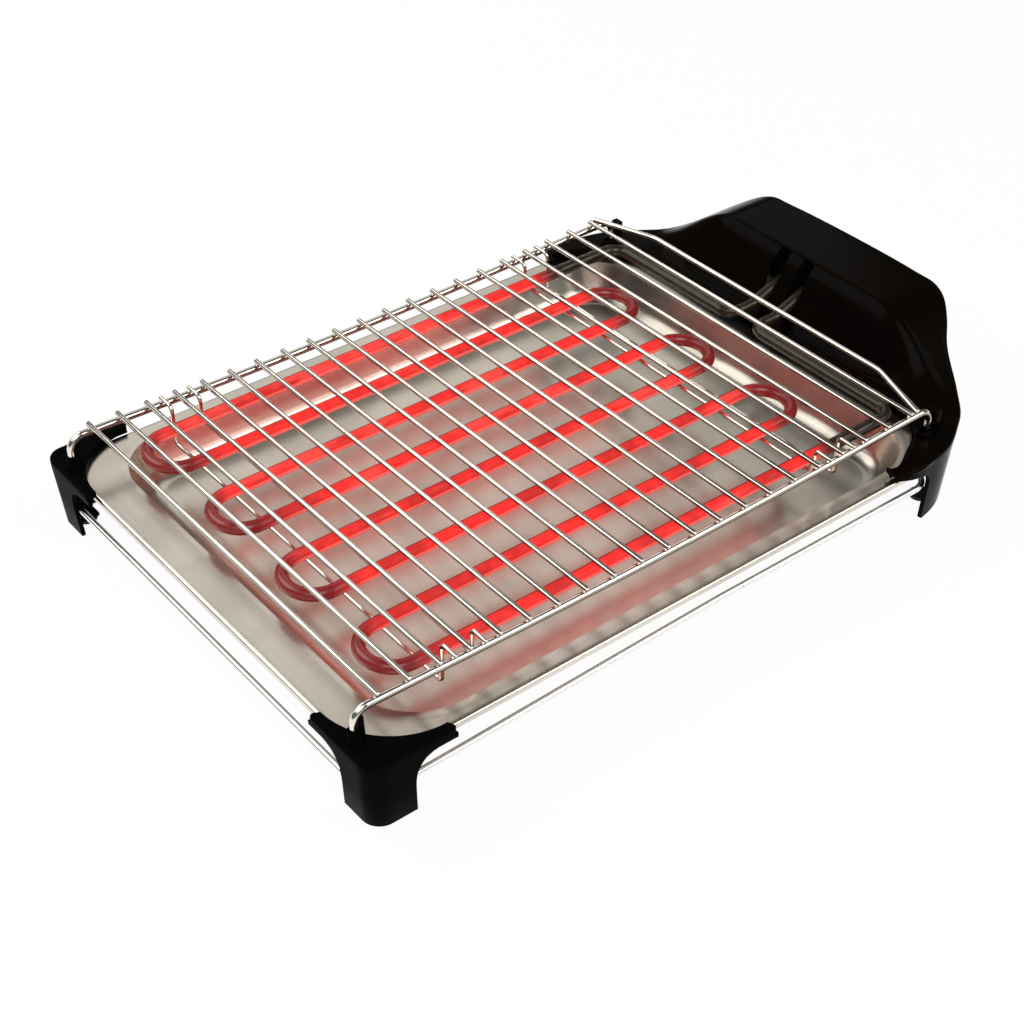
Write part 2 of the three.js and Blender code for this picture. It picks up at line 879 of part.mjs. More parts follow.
// Height of the housing's top skin: wings at the front, a flat-topped dome behind.
function housingHeight(x, y) {
  const front = smooth((x - domeX) / domeFrontSlope);
  const side = smooth((domeSideTop + domeSideSlope - Math.abs(y)) / domeSideSlope);
  return wingLevel + (domeLevel - wingLevel) * front * side;
}

// Everything under the top skin, lowered by a wall.
function underSkin(lower) {
  const reach = housingY + cutOverrun;
  const xs = [housingX0 - cutOverrun, domeX];
  [0.15, 0.3, 0.45, 0.6, 0.75, 0.9, 1].forEach((share) => xs.push(domeX + share * domeFrontSlope));
  xs.push(housingX1 + cutOverrun);
  const ys = [];
  for (const side of [-1, 1]) {
    ys.push(side * reach);
    [0, 0.14, 0.28, 0.42, 0.56, 0.7, 0.85, 1].forEach((share) =>
      ys.push(side * (domeSideTop + (1 - share) * domeSideSlope)),
    );
  }
  ys.sort((a, b) => a - b);
  const [nx, ny] = [xs.length - 1, ys.length - 1];
  const geometry = new THREE.BoxGeometry(1, 1, 1, nx, ny, 1);
  const at = geometry.attributes.position;
  for (let i = 0; i < at.count; i += 1) {
    const x = xs[Math.round((at.getX(i) + 0.5) * nx)];
    const y = ys[Math.round((at.getY(i) + 0.5) * ny)];
    const z = at.getZ(i) > 0 ? housingHeight(x, y) - lower : -cutOverrun;
    at.setXYZ(i, x, y, z);
  }
  return solidOf(geometry);
}

// The outline as a solid that leans in below the wings.
function leaningOutline(inward) {
  return solidOf(
    skinned([
      housingLoop(inward, domeLevel + cutOverrun),
      housingLoop(inward, wingLevel),
      housingLoop(inward + housingLean, -cutOverrun),
    ]),
  );
}

function wingInnerPoints() {
  const near = wingInnerShares.map((share) => housingPoint(share));
  const far = near.map(([x, y]) => [x, -y]).reverse();
  const front = housingX0 - cutOverrun;
  return [[front, near[0][1]], ...near, ...far, [front, far[far.length - 1][1]]];
}

function legFrontOutline() {
  const edge = lastWire + legFront;
  const reach = legFront + wingFront;
  const curve = legFrontShares.map(([ahead, up]) => [edge - ahead * reach, up * wingLevel]);
  const front = housingX0 - cutOverrun;
  return [
    [front, -cutOverrun],
    [curve[0][0], -cutOverrun],
    ...curve,
    [front, curve[curve.length - 1][1]],
  ];
}

function rimOutline() {
  const edge = lastWire + legRear;
  const end = housingX1 + cutOverrun;
  return [
    [edge, -cutOverrun],
    [end, -cutOverrun],
    [end, rimLevel],
    [edge + rimBlend, rimLevel],
    [edge, rimLevel - rimBlend],
  ];
}

function housingSkin() {
  const reach = housingY + cutOverrun;
  const front = housingX0 - cutOverrun;
  const outer = underSkin(0).intersect(leaningOutline(0));
  const hollow = underSkin(housingWall).intersect(leaningOutline(housingWall));
  const behindRim = solidOf(block(domeX + housingWall, housingX1, -reach, reach, -reach, reach));
  const underWings = solidOf(block(front, domeX + reach, -reach, reach, -reach, wingFloor));
  const below = leaningOutline(housingWall).intersect(underWings).subtract(behindRim);
  const shell = outer.subtract(hollow.intersect(behindRim)).subtract(below);
  return without(
    shell,
    raised(wingInnerPoints(), -reach, reach),
    drawnAcross(legFrontOutline(), -reach, reach),
    drawnAcross(rimOutline(), -reach, reach),
    block(front, housingX1, -reach, reach, -reach, legClearance),
  );
}

function postSolid(side) {
  const y = side * rodSide;
  const x = lastWire + rodRear - postInset;
  const floor = wingLevel - seatGap;
  const stop = lastWire + stopReach;
  return joined(
    raised(obround(x, y, postLength, postWidth), floor, wingLevel + postRise),
    block(stop, stop + stopLength, y - stopWidth / 2, y + stopWidth / 2, floor, wingLevel + stopRise),
  );
}

function postSlot(side) {
  const x = lastWire + rodRear - postInset;
  const outline = obround(x, side * rodSide, postSlotLength, postSlotWidth);
  return raised(outline, wingLevel - postRise, wingLevel + stopRise);
}

function bossPlaces() {
  const near = [
    [pivotX + bossReach, -bossSide],
    [pivotX + innerBossReach, -innerBossSide],
  ];
  return [...near, ...near.map(([x, y]) => [x, -y])];
}

function bosses() {
  const posts = bossPlaces().map(([x, y]) =>
    upright(x, y, baseTop + seatGap, domeLevel, bossDiameter, 12),
  );
  return joined(...posts).intersect(underSkin(housingWall / 2));
}

// Webs inside the rear legs, cut to the legs' own outline.
function legWebs() {
  const y1 = housingY;
  const soleX = lastWire + rearPadReach - rearSoleLength / 2;
  const soleY = sideLine + padDiameter - rearSoleWidth;
  const saddleX = lastWire + lowWireRear - saddleLength / 2;
  const webs = [];
  for (const side of [-1, 1]) {
    const [inner, outer] = [side * soleY, side * y1].sort((a, b) => a - b);
    const edge = sideLine + lowWireSide - saddleDepth;
    const [near, far] = [side * edge, side * y1].sort((a, b) => a - b);
    const z0 = lowWireLevel - ribHeight / 2;
    const z1 = lowWireLevel + ribHeight / 2;
    const top = soleLevel + soleThickness;
    webs.push(block(soleX, soleX + rearSoleLength, inner, outer, soleLevel, top));
    webs.push(block(saddleX, saddleX + saddleLength, near, far, z0, z1));
  }
  return joined(...webs).intersect(leaningOutline(housingWall / 2));
}

function trayRoom() {
  const lowest = flangeLevel - hemHeight - trayGap;
  return [
    skinned([flangeLoop(-trayGap, wingFloor), flangeLoop(-trayGap, lowest)]),
    skinned([
      basinLoop(beadWidth + trayGap, flangeLevel + beadHeight + trayGap),
      basinLoop(beadWidth + trayGap, lowest),
    ]),
  ];
}

// The housing's rear wall leans in towards the bottom by this much of its height.
const leanShare = housingLean / (wingLevel + cutOverrun);

function glandX() {
  const [x0, y0] = housingPoint(outlineShares[outlineShares.length - 1]);
  const share = (glandSide - y0) / -y0;
  return x0 + (housingX1 - x0) * share - leanShare * (wingLevel - glandLevel);
}

function glandRoom() {
  const x = glandX();
  const corners = [
    [x - glandFlange, glandSide, glandLevel + glandFlange * leanShare],
    [x + glandFlange, glandSide, glandLevel - glandFlange * leanShare],
  ];
  return bentTube(corners, 0, glandBody + 2 * seatGap, 20);
}

function housingShell() {
  const body = housingSkin().add(postSolid(1)).add(postSolid(-1)).add(bosses()).add(legWebs());
  const slots = coldEndSides.map((y) =>
    block(
      pivotX - slotFront,
      pivotX - slotRear,
      y - slotWidth / 2,
      y + slotWidth / 2,
      slotFloor,
      domeLevel + cutOverrun,
    ),
  );
  const pilots = bossPlaces().map(([x, y]) => upright(x, y, rimLevel, baseTop + pilotDepth, screwHole, 10));
  return geometryOf(
    without(
      body,
      ...trayRoom(),
      postSlot(1),
      postSlot(-1),
      ...slots,
      ...pilots,
      lowWire(seatGap),
      glandRoom(),
    ),
  );
}

// The base plate closes the housing from below, with a wall under the tray's rear edge.
function housingBase() {
  const reach = housingY + cutOverrun;
  const front = pivotX - baseFront;
  const plate = leaningOutline(housingWall + seatGap).intersect(
    solidOf(block(front, housingX1, -reach, reach, baseFloor, baseTop)),
  );
  const wall = block(
    front,
    front + baseWall,
    -baseWallHalf,
    baseWallHalf,
    baseFloor,
    flangeLevel - 2 * sheet,
  );
  const holes = bossPlaces().map(([x, y]) => upright(x, y, 0, baseTop + cutOverrun, screwHole, 10));
  return geometryOf(without(plate.add(solidOf(wall)), ...holes));
}

function hingeBracket(side) {
  const y0 = coldEndOffset + side * (barrelLength / 2 + bracketGap);
  const y1 = y0 + side * bracketThickness;
  const [near, far] = [y0, y1].sort((a, b) => a - b);
  const [footNear, footFar] = [y1 - side * seatGap, y1 + side * bracketFoot].sort((a, b) => a - b);
  const half = bracketLength / 2;
  const floor = baseTop + seatGap;
  const outline = [
    [pivotX - half, floor],
    [pivotX + half, floor],
    ...arcPoints(pivotX, pivotLevel, half, 0, Math.PI, 10),
  ];
  const body = joined(
    drawnAcross(outline, near, far),
    block(pivotX - half, pivotX + half, footNear, footFar, floor, floor + bracketThickness),
  );
  const bore = journalDiameter + 2 * journalPlay;
  const hole = crosswise(pivotX, pivotLevel, near - cutOverrun, far + cutOverrun, bore, 24);
  return geometryOf(without(body, hole));
}

function terminalStrip() {
  const x0 = stripX - stripDepth / 2;
  const floor = baseTop + seatGap;
  const y0 = coldEndOffset - stripLength / 2;
  const body = solidOf(
    block(x0, x0 + stripDepth, y0, y0 + stripLength, floor, floor + stripHeight),
  );
  const groove = block(
    x0 - cutOverrun,
    x0 + stripDepth + cutOverrun,
    coldEndOffset - stripGroove / 2,
    coldEndOffset + stripGroove / 2,
    floor + stripHeight / 2,
    floor + stripHeight + cutOverrun,
  );
  return geometryOf(without(body, groove));
}

function thermalCutout() {
  const x = pivotX + cutoutReach;
  const floor = baseTop + seatGap;
  return geometryOf(
    joined(
      upright(x, cutoutSide, floor, floor + cutoutHeight, cutoutDiameter, 20),
      block(
        x - cutoutDiameter / 2,
        x + cutoutDiameter / 2,
        cutoutSide - cutoutFlange / 2,
        cutoutSide + cutoutFlange / 2,
        floor,
        floor + sheet,
      ),
    ),
  );
}

function terminalLead(y) {
  const start = pivotX + socketGap + pinLength + seatGap;
  const stop = baseTop + seatGap + stripHeight + seatGap;
  const corners = [
    [start, y, pivotLevel],
    [leadX, y, pivotLevel],
    [leadX, y, stop],
  ];
  return bentTube(corners, leadBendRadius, leadDiameter, 8, 8);
}

function supplyLead() {
  const y0 = coldEndOffset - stripLength / 2 - seatGap;
  const end = glandX() - housingWall - leadDiameter;
  const corners = [
    [stripX, y0, glandLevel - leadBendRadius],
    [stripX, glandSide, glandLevel - leadBendRadius],
    [end, glandSide, glandLevel],
  ];
  return bentTube(corners, leadBendRadius, leadDiameter, 8, 8);
}

function cableGland() {
  const x = glandX();
  const profile = [
    [glandBore / 2, -housingWall - 2 * glandLip],
    [glandFlange / 2 - glandLip, -housingWall - 2 * glandLip],
    [glandFlange / 2 - glandLip, -housingWall - glandLip],
    [glandBody / 2, -housingWall - glandLip],
    [glandBody / 2, 2 * seatGap],
    [glandFlange / 2, 2 * seatGap],
    [glandFlange / 2, 2 * seatGap + glandLip / 2],
    [glandBore / 2, 2 * seatGap + glandLip / 2],
    [glandBore / 2, -housingWall - 2 * glandLip],
  ];
  const geometry = new THREE.LatheGeometry(vectors(profile), 20);
  geometry.rotateZ(-Math.PI / 2).rotateY(Math.atan(leanShare));
  return moved(geometry, x, glandSide, glandLevel);
}

// A pan-head screw that stands head down, its shank pointing up.
function screw(x, y, seat, length) {
  return geometryOf(
    joined(
      upright(x, y, seat - seatGap - screwHeadHeight, seat - seatGap, screwHeadDiameter, 12),
      upright(x, y, seat - 2 * seatGap, seat + length, screwDiameter, 10),
    ),
  );
}

function footScrew(side) {
  const y = side * (sideLine + screwInset);
  return screw(-screwInset, y, flangeLevel - sheet, sheet + screwBite);
}

function rubberPad(x, y) {
  return upright(x, y, 0, soleLevel - seatGap, padDiameter, 20);
}

// Colours and finishes

function finish(color, roughness, metalness) {
  return new THREE.MeshStandardMaterial({ color, roughness, metalness });
}

const chrome = () => finish(0xe6e2dc, 0.12, 1);
const brightSheet = () => finish(0xcfc8bf, 0.22, 1);
const glowing = () => finish(0xa81210, 0.45, 0);
const satinBlack = () => finish(0x111112, 0.45, 0);
const glossBlack = () => finish(0x060607, 0.1, 0);
const zinc = () => finish(0xa9abad, 0.4, 1);
const ceramic = () => finish(0xe9e4d8, 0.6, 0);
const rubber = () => finish(0x1a1a1b, 0.85, 0);
const sleeve = () => finish(0xb8b09c, 0.7, 0);

function piece(name, geometry, material) {
  const mesh = new THREE.Mesh(geometry, material);
  mesh.name = name;
  return mesh;
}

// The scene graph: what stands still, and what tilts about the terminal block

function standingPieces() {
  const group = new THREE.Group();
  const rearPad = (side) => rubberPad(lastWire + rearPadReach, side * (sideLine - rearPadInset));
  const frontPad = (side) => {
    const inset = padInset + footLean - footOut;
    return rubberPad(inset, side * (sideLine - inset));
  };
  group.add(
    piece("drip_tray", dripTray(), brightSheet()),
    piece("front_foot_near", placedFoot(-1), satinBlack()),
    piece("front_foot_far", placedFoot(1), satinBlack()),
    piece("low_wire", lowWire(0), chrome()),
    piece("housing_shell", housingShell(), glossBlack()),
    piece("housing_base", housingBase(), satinBlack()),
    piece("hinge_bracket_near", hingeBracket(-1), zinc()),
    piece("hinge_bracket_far", hingeBracket(1), zinc()),
    piece("terminal_strip", terminalStrip(), ceramic()),
    piece("thermal_cutout", thermalCutout(), zinc()),
    piece("lead_far", terminalLead(coldEndSides[0]), sleeve()),
    piece("lead_near", terminalLead(coldEndSides[1]), sleeve()),
    piece("lead_supply", supplyLead(), sleeve()),
    piece("cable_gland", cableGland(), satinBlack()),
    piece("foot_pad_near", frontPad(-1), rubber()),
    piece("foot_pad_far", frontPad(1), rubber()),
    piece("rear_pad_near", rearPad(-1), rubber()),
    piece("rear_pad_far", rearPad(1), rubber()),
    piece("foot_screw_near", footScrew(-1), zinc()),
    piece("foot_screw_far", footScrew(1), zinc()),
  );
  bossPlaces().forEach(([x, y], i) => {
    const shank = baseThickness + pilotDepth / 2;
    group.add(piece(`base_screw_${i + 1}`, screw(x, y, baseFloor, shank), zinc()));
  });
  return group;
}

function tiltingPieces() {
  const group = new THREE.Group();
  for (let i = 0; i < wireCount; i += 1) {
    const name = `cross_wire_${String(i + 1).padStart(2, "0")}`;
    group.add(piece(name, crossWire(i), chrome()));
  }
  hangerPlaceShares.forEach((share, i) => {
    const outer = i === 0 || i === hangerPlaceShares.length - 1;
    group.add(piece(`hanger_wire_${i + 1}`, hangerWire(share, outer ? hangerSag : 0), chrome()));
  });
  group.add(
    piece("side_rod_near", sideRod(-1), chrome()),
    piece("side_rod_far", sideRod(1), chrome()),
    piece("handle_wire", handleWire(), chrome()),
    piece("heating_element", heatingElement(), glowing()),
    piece("terminal_block", terminalBlock(), satinBlack()),
    piece("terminal_pin_far", terminalPin(coldEndSides[0]), zinc()),
    piece("terminal_pin_near", terminalPin(coldEndSides[1]), zinc()),
  );
  return group;
}

const grill = new THREE.Group();
grill.add(standingPieces(), tiltingPieces());
grill.position.x = (footOut - housingX1) / 2;

export default grill;
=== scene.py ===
import math

import bmesh
import bpy
import numpy as np
from bpy.props import FloatProperty, FloatVectorProperty, IntProperty, PointerProperty
from mathutils import Matrix, Vector


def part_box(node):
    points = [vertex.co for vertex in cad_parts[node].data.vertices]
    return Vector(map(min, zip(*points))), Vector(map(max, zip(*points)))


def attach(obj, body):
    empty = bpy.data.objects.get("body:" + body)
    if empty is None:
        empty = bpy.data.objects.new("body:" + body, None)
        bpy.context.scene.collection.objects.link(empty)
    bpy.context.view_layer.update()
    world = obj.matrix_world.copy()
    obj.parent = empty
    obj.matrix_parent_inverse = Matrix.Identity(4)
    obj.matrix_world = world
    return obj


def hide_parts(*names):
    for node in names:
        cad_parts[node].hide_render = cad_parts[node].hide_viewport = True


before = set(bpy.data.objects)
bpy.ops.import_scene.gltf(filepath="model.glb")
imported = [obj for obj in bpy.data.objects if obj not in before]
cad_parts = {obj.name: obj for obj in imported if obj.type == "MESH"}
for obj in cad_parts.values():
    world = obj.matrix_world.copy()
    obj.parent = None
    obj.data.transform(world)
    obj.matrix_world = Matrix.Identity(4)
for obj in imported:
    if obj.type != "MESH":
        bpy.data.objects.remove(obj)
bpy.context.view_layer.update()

bl_info = {
    "name": "Table grill",
    "version": (1, 0, 0),
    "blender": (4, 5, 0),
    "location": "View3D > Sidebar > Grill",
    "description": "Dresses an open electric table grill: grate, element, tray, feet and housing",
    "category": "Object",
}

# Lengths in this file are millimetres in the frame of the solids. Blender's are metres.
MM = 0.001
QUARTER_TURN = math.pi / 2
FULL_TURN = 2 * math.pi


def low(node):
    """Lowest corner of a solid, in millimetres."""
    return np.array(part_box(node)[0]) / MM


def high(node):
    """Highest corner of a solid, in millimetres."""
    return np.array(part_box(node)[1]) / MM


def span(node):
    """Lowest corner, highest corner and middle of a solid, in millimetres."""
    a, b = low(node), high(node)
    return a, b, (a + b) / 2


WIRES = [f"cross_wire_{i:02d}" for i in range(1, 22)]
WIRE_MIDDLES = np.array([span(name)[2] for name in WIRES])
FIRST, LAST = WIRE_MIDDLES[0, 0], WIRE_MIDDLES[-1, 0]
WIRE_WIDE = high(WIRES[0])[2] - low(WIRES[0])[2]
ROD_Y = span("side_rod_far")[2][1]
ROD_WIDE = high("side_rod_far")[1] - low("side_rod_far")[1]
ROD_GAP = 0.3  # between a cross wire's underside and the side rod, filled by the weld
SIDE_LINE = ROD_Y + 1.6  # the tray, the feet and the housing are drawn from this line


def wire_level(x):
    """Height of the grate's shallow curve at x, read from the cross wires' own solids."""
    return float(np.interp(x, WIRE_MIDDLES[:, 0], WIRE_MIDDLES[:, 2]))


def rod_top(x):
    """Height of the side rods' upper side at x."""
    return wire_level(x) - WIRE_WIDE / 2 - ROD_GAP


# ---------------------------------------------------------------- shapes


def surface(name, grids, smooth_angle=40.0, closed=True):
    """Makes one mesh object out of grids of points, each rows x columns x 3 in millimetres.

    When closed, a grid's last column joins its first, its first and its last row are closed with
    one face each, and all faces point out. An open grid faces the way of the cross product of a
    step from row to row and one from column to column.
    """
    verts, faces = [], []
    start = 0
    for points in grids:
        rows, cols = points.shape[:2]
        number = start + np.arange(rows * cols).reshape(rows, cols)
        ahead = np.roll(number, -1, axis=1)
        if not closed:
            number, ahead = number[:, :-1], ahead[:, :-1]
        quads = np.stack([number[:-1], number[1:], ahead[1:], ahead[:-1]], axis=-1)
        faces += quads.reshape(-1, 4).tolist()
        if closed:
            faces += [number[0].tolist(), number[-1][::-1].tolist()]
        verts.append(points.reshape(-1, 3))
        start += rows * cols
    mesh = bpy.data.meshes.new(name)
    mesh.from_pydata((np.concatenate(verts) * MM).tolist(), [], faces)
    mesh.validate()
    mesh.shade_smooth()
    mesh.set_sharp_from_angle(angle=math.radians(smooth_angle))
    piece = bpy.data.objects.new(name, mesh)
    bpy.context.scene.collection.objects.link(piece)
    if closed:
        turn_outward(mesh)
    return piece


def turn_outward(mesh):
    """Turns a closed mesh's faces so that they all point out."""
    work = bmesh.new()
    work.from_mesh(mesh)
    bmesh.ops.recalc_face_normals(work, faces=work.faces)
    work.to_mesh(mesh)
    work.free()


def unit(vector):
    """The same direction, 1 long."""
    return vector / np.linalg.norm(vector)


def units(vectors):
    """The same directions, a row each, all 1 long."""
    return vectors / np.linalg.norm(vectors, axis=1)[:, None]


def bent_path(corners, radii, fineness=5.0):
    """Points and directions along straight lines joined by round bends.

    A bend of radius r at a corner starts r * tan(turn / 2) before it and follows a circle whose
    centre lies on the corner's bisector. A bend has one station for each few degrees of turn.
    """
    corners = np.array(corners, float)
    radii = np.broadcast_to(radii, len(corners))
    points, ways = [corners[0]], [unit(corners[1] - corners[0])]
    for before, corner, after, radius in zip(corners, corners[1:], corners[2:], radii[1:]):
        arrive, leave = unit(corner - before), unit(after - corner)
        turn = math.acos(np.clip(arrive @ leave, -1, 1))
        count = max(2, int(math.degrees(turn) / fineness) + 1)
        angle = np.linspace(0, turn, count)[:, None]
        side = unit(leave - (leave @ arrive) * arrive)
        begin = corner - arrive * radius * math.tan(turn / 2)
        points.extend(begin + radius * (np.sin(angle) * arrive + (1 - np.cos(angle)) * side))
        ways.extend(np.cos(angle) * arrive + np.sin(angle) * side)
    points.append(corners[-1])
    ways.append(unit(corners[-1] - corners[-2]))
    return np.array(points), np.array(ways)


def divided(path, gap):
    """The same path with stations about a gap apart. Each step is cut into equal parts, which
    keep the direction of the station before them."""
    points, ways = path
    step = np.linalg.norm(np.diff(points, axis=0), axis=1)
    shares = [np.linspace(0, 1, max(2, int(s / gap) + 1))[:-1, None] for s in step]
    between = [a + (b - a) * share for a, b, share in zip(points, points[1:], shares)]
    turned = [np.repeat(way[None], len(share), 0) for way, share in zip(ways, shares)]
    return np.concatenate([*between, points[-1:]]), np.concatenate([*turned, ways[-1:]])


def tube(path, radius, across, sides, round_ends):
    """A round tube along a path.

    Ring point = centre + r * (cos a * side + sin a * up), where side is square to the path's
    direction and to the vector across. The last round_ends of each end close in as a quarter
    ellipse, r * (0.45 + 0.55 * sqrt(1 - s * s)), where s is 1 at the very end.
    """
    points, ways = path
    scale = np.ones(len(points))
    if round_ends:
        share = np.array([1.0, 0.92, 0.7, 0.38, 0.0])
        count = len(share)
        closing = np.sqrt(np.clip(1 - share**2, 0.0, 1.0)) * 0.55 + 0.45
        back = (round_ends * (1 - share))[:, None]
        head, tail = points[0] + ways[0] * back, points[-1] - ways[-1] * back[::-1]
        points = np.concatenate([head, points[1:-1], tail])
        ends = np.repeat(ways[:1], count, 0), np.repeat(ways[-1:], count, 0)
        ways = np.concatenate([ends[0], ways[1:-1], ends[1]])
        scale = np.concatenate([closing, np.ones(len(points) - 2 * count), closing[::-1]])
    side = units(np.cross(ways, np.array(across, float)))
    up = np.cross(side, ways)
    angle = np.linspace(0, FULL_TURN, sides, endpoint=False)[:, None]
    ring = np.cos(angle) * side[:, None] + np.sin(angle) * up[:, None]
    return points[:, None] + ring * (radius * scale)[:, None, None]


def raised(flat, level):
    """Flat points lifted to a level, or each to its own."""
    return np.column_stack([flat, np.broadcast_to(level, len(flat))])


def arc(x, y, radius, start, stop, steps):
    """Points on a circle about x, y, from a start to a stop in degrees."""
    angle = np.radians(np.linspace(start, stop, steps + 1))
    return np.stack([x + radius * np.cos(angle), y + radius * np.sin(angle)], 1)


def rounded_loop(x0, x1, half, front, rear, level):
    """A level loop: a rectangle with round corners of 12 steps, turning left seen from above."""
    corners = [
        (x1 - rear, half - rear, rear),
        (x0 + front, half - front, front),
        (x0 + front, front - half, front),
        (x1 - rear, rear - half, rear),
    ]
    parts = [arc(x, y, r, 90 * k, 90 * k + 90, 12) for k, (x, y, r) in enumerate(corners)]
    return raised(np.concatenate(parts), level)


def inset(outline, distance):
    """An outline turning left, drawn in by a distance square to the mean of its two edges."""
    ahead, behind = np.roll(outline, -1, 0) - outline, outline - np.roll(outline, 1, 0)
    ahead, behind = units(ahead), units(behind)
    along = units(ahead + behind)
    inward = np.stack([-along[:, 1], along[:, 0]], 1)
    spread = np.clip(np.einsum("ij,ij->i", along, ahead), 0.5, 1.0)[:, None]
    return outline + inward * distance / spread


def slab(outline, floor, top, edge):
    """A flat plate with rounded edges: the outline's rings climb from the floor over a quarter
    circle, up the side and over another quarter circle, drawn in as they near each face."""
    angle = np.linspace(0, QUARTER_TURN, 5)
    rings = [(edge * (1 - math.sin(a)), floor + edge * (1 - math.cos(a))) for a in angle]
    rings += [(edge * (1 - math.cos(a)), top - edge * (1 - math.sin(a))) for a in angle]
    return np.array([raised(inset(outline, drawn), level) for drawn, level in reversed(rings)])


def lathe(profile, x, y):
    """A profile of (radius, level) pairs turned about an upright axis at x, y: each becomes the
    ring (x + r * cos a, y + r * sin a) at its level, in 40 steps."""
    angle = np.linspace(0, FULL_TURN, 40, endpoint=False)
    ring = np.stack([np.cos(angle), np.sin(angle)], 1)
    return np.array([raised(np.array([x, y]) + radius * ring, level) for radius, level in profile])


def mirrored(points):
    """The same grid on the other side of the centre line, its columns reversed."""
    return (points * np.array([1, -1, 1]))[:, ::-1]


def ramp(value, start, stop):
    """0 before start, 1 after stop, even between."""
    return np.clip((value - start) / (stop - start), 0, 1)


def smooth(share):
    """A soft step from 0 to 1: 3 * s^2 - 2 * s^3."""
    share = np.clip(share, 0, 1)
    return share * share * (3 - 2 * share)


def even(points, places):
    """A smooth line through rough points, read at places from 0 to 1 of its length.

    Between two points a and b it is the cubic (2u^3 - 3u^2 + 1) a + (u^3 - 2u^2 + u) m +
    (3u^2 - 2u^3) b + (u^3 - u^2) n, where u runs from 0 to 1 and the slopes m and n at a and b
    come from the points on both sides.
    """
    points = np.asarray(points, float)
    step = np.linalg.norm(np.diff(points, axis=0), axis=1)
    length = np.concatenate([[0], np.cumsum(step)])
    t = length / length[-1]
    slope = np.gradient(points, t, axis=0)
    index = np.clip(np.searchsorted(t, places, side="right") - 1, 0, len(t) - 2)
    wide = (t[index + 1] - t[index])[:, None]
    u = (places - t[index])[:, None] / wide
    a, b = points[index], points[index + 1]
    m, n = slope[index] * wide, slope[index + 1] * wide
    from_a = (2 * u**3 - 3 * u**2 + 1) * a + (u**3 - 2 * u**2 + u) * m
    return from_a + (-2 * u**3 + 3 * u**2) * b + (u**3 - u**2) * n


# ---------------------------------------------------------------- materials

# Colours that a user has no call to change.
# Brown of the painted shade on the side of a wire away from the light.
SHADE_BROWN = (0.11, 0.078, 0.06)
OXIDE_BLACK, OXIDE_BROWN = (0.012, 0.008, 0.004), (0.028, 0.019, 0.009)
ZINC_DARK, ZINC_PALE = (0.55, 0.57, 0.58), (0.70, 0.71, 0.71)
RUBBER_BLACK, RUBBER_DUST = (0.012, 0.012, 0.012), (0.035, 0.034, 0.032)
CERAMIC_PALE, CERAMIC_SPECK = (0.80, 0.77, 0.70), (0.55, 0.50, 0.42)
THREAD_DARK, THREAD_PALE = (0.42, 0.38, 0.30), (0.72, 0.68, 0.58)
BLACK, PAPER, WHITE = (0, 0, 0), (0.9, 0.9, 0.9), (1, 1, 1)


class Field:
    """A socket of a shader, wrapped so that maths on it reads as plain arithmetic."""

    def __init__(self, paint, socket):
        self.paint = paint
        self.socket = socket

    def __add__(self, other):
        return self.paint.math("ADD", self, other)

    def __sub__(self, other):
        return self.paint.math("SUBTRACT", self, other)

    def __rsub__(self, other):
        return self.paint.math("SUBTRACT", other, self)

    def __mul__(self, other):
        return self.paint.math("MULTIPLY", self, other)

    __radd__ = __add__
    __rmul__ = __mul__


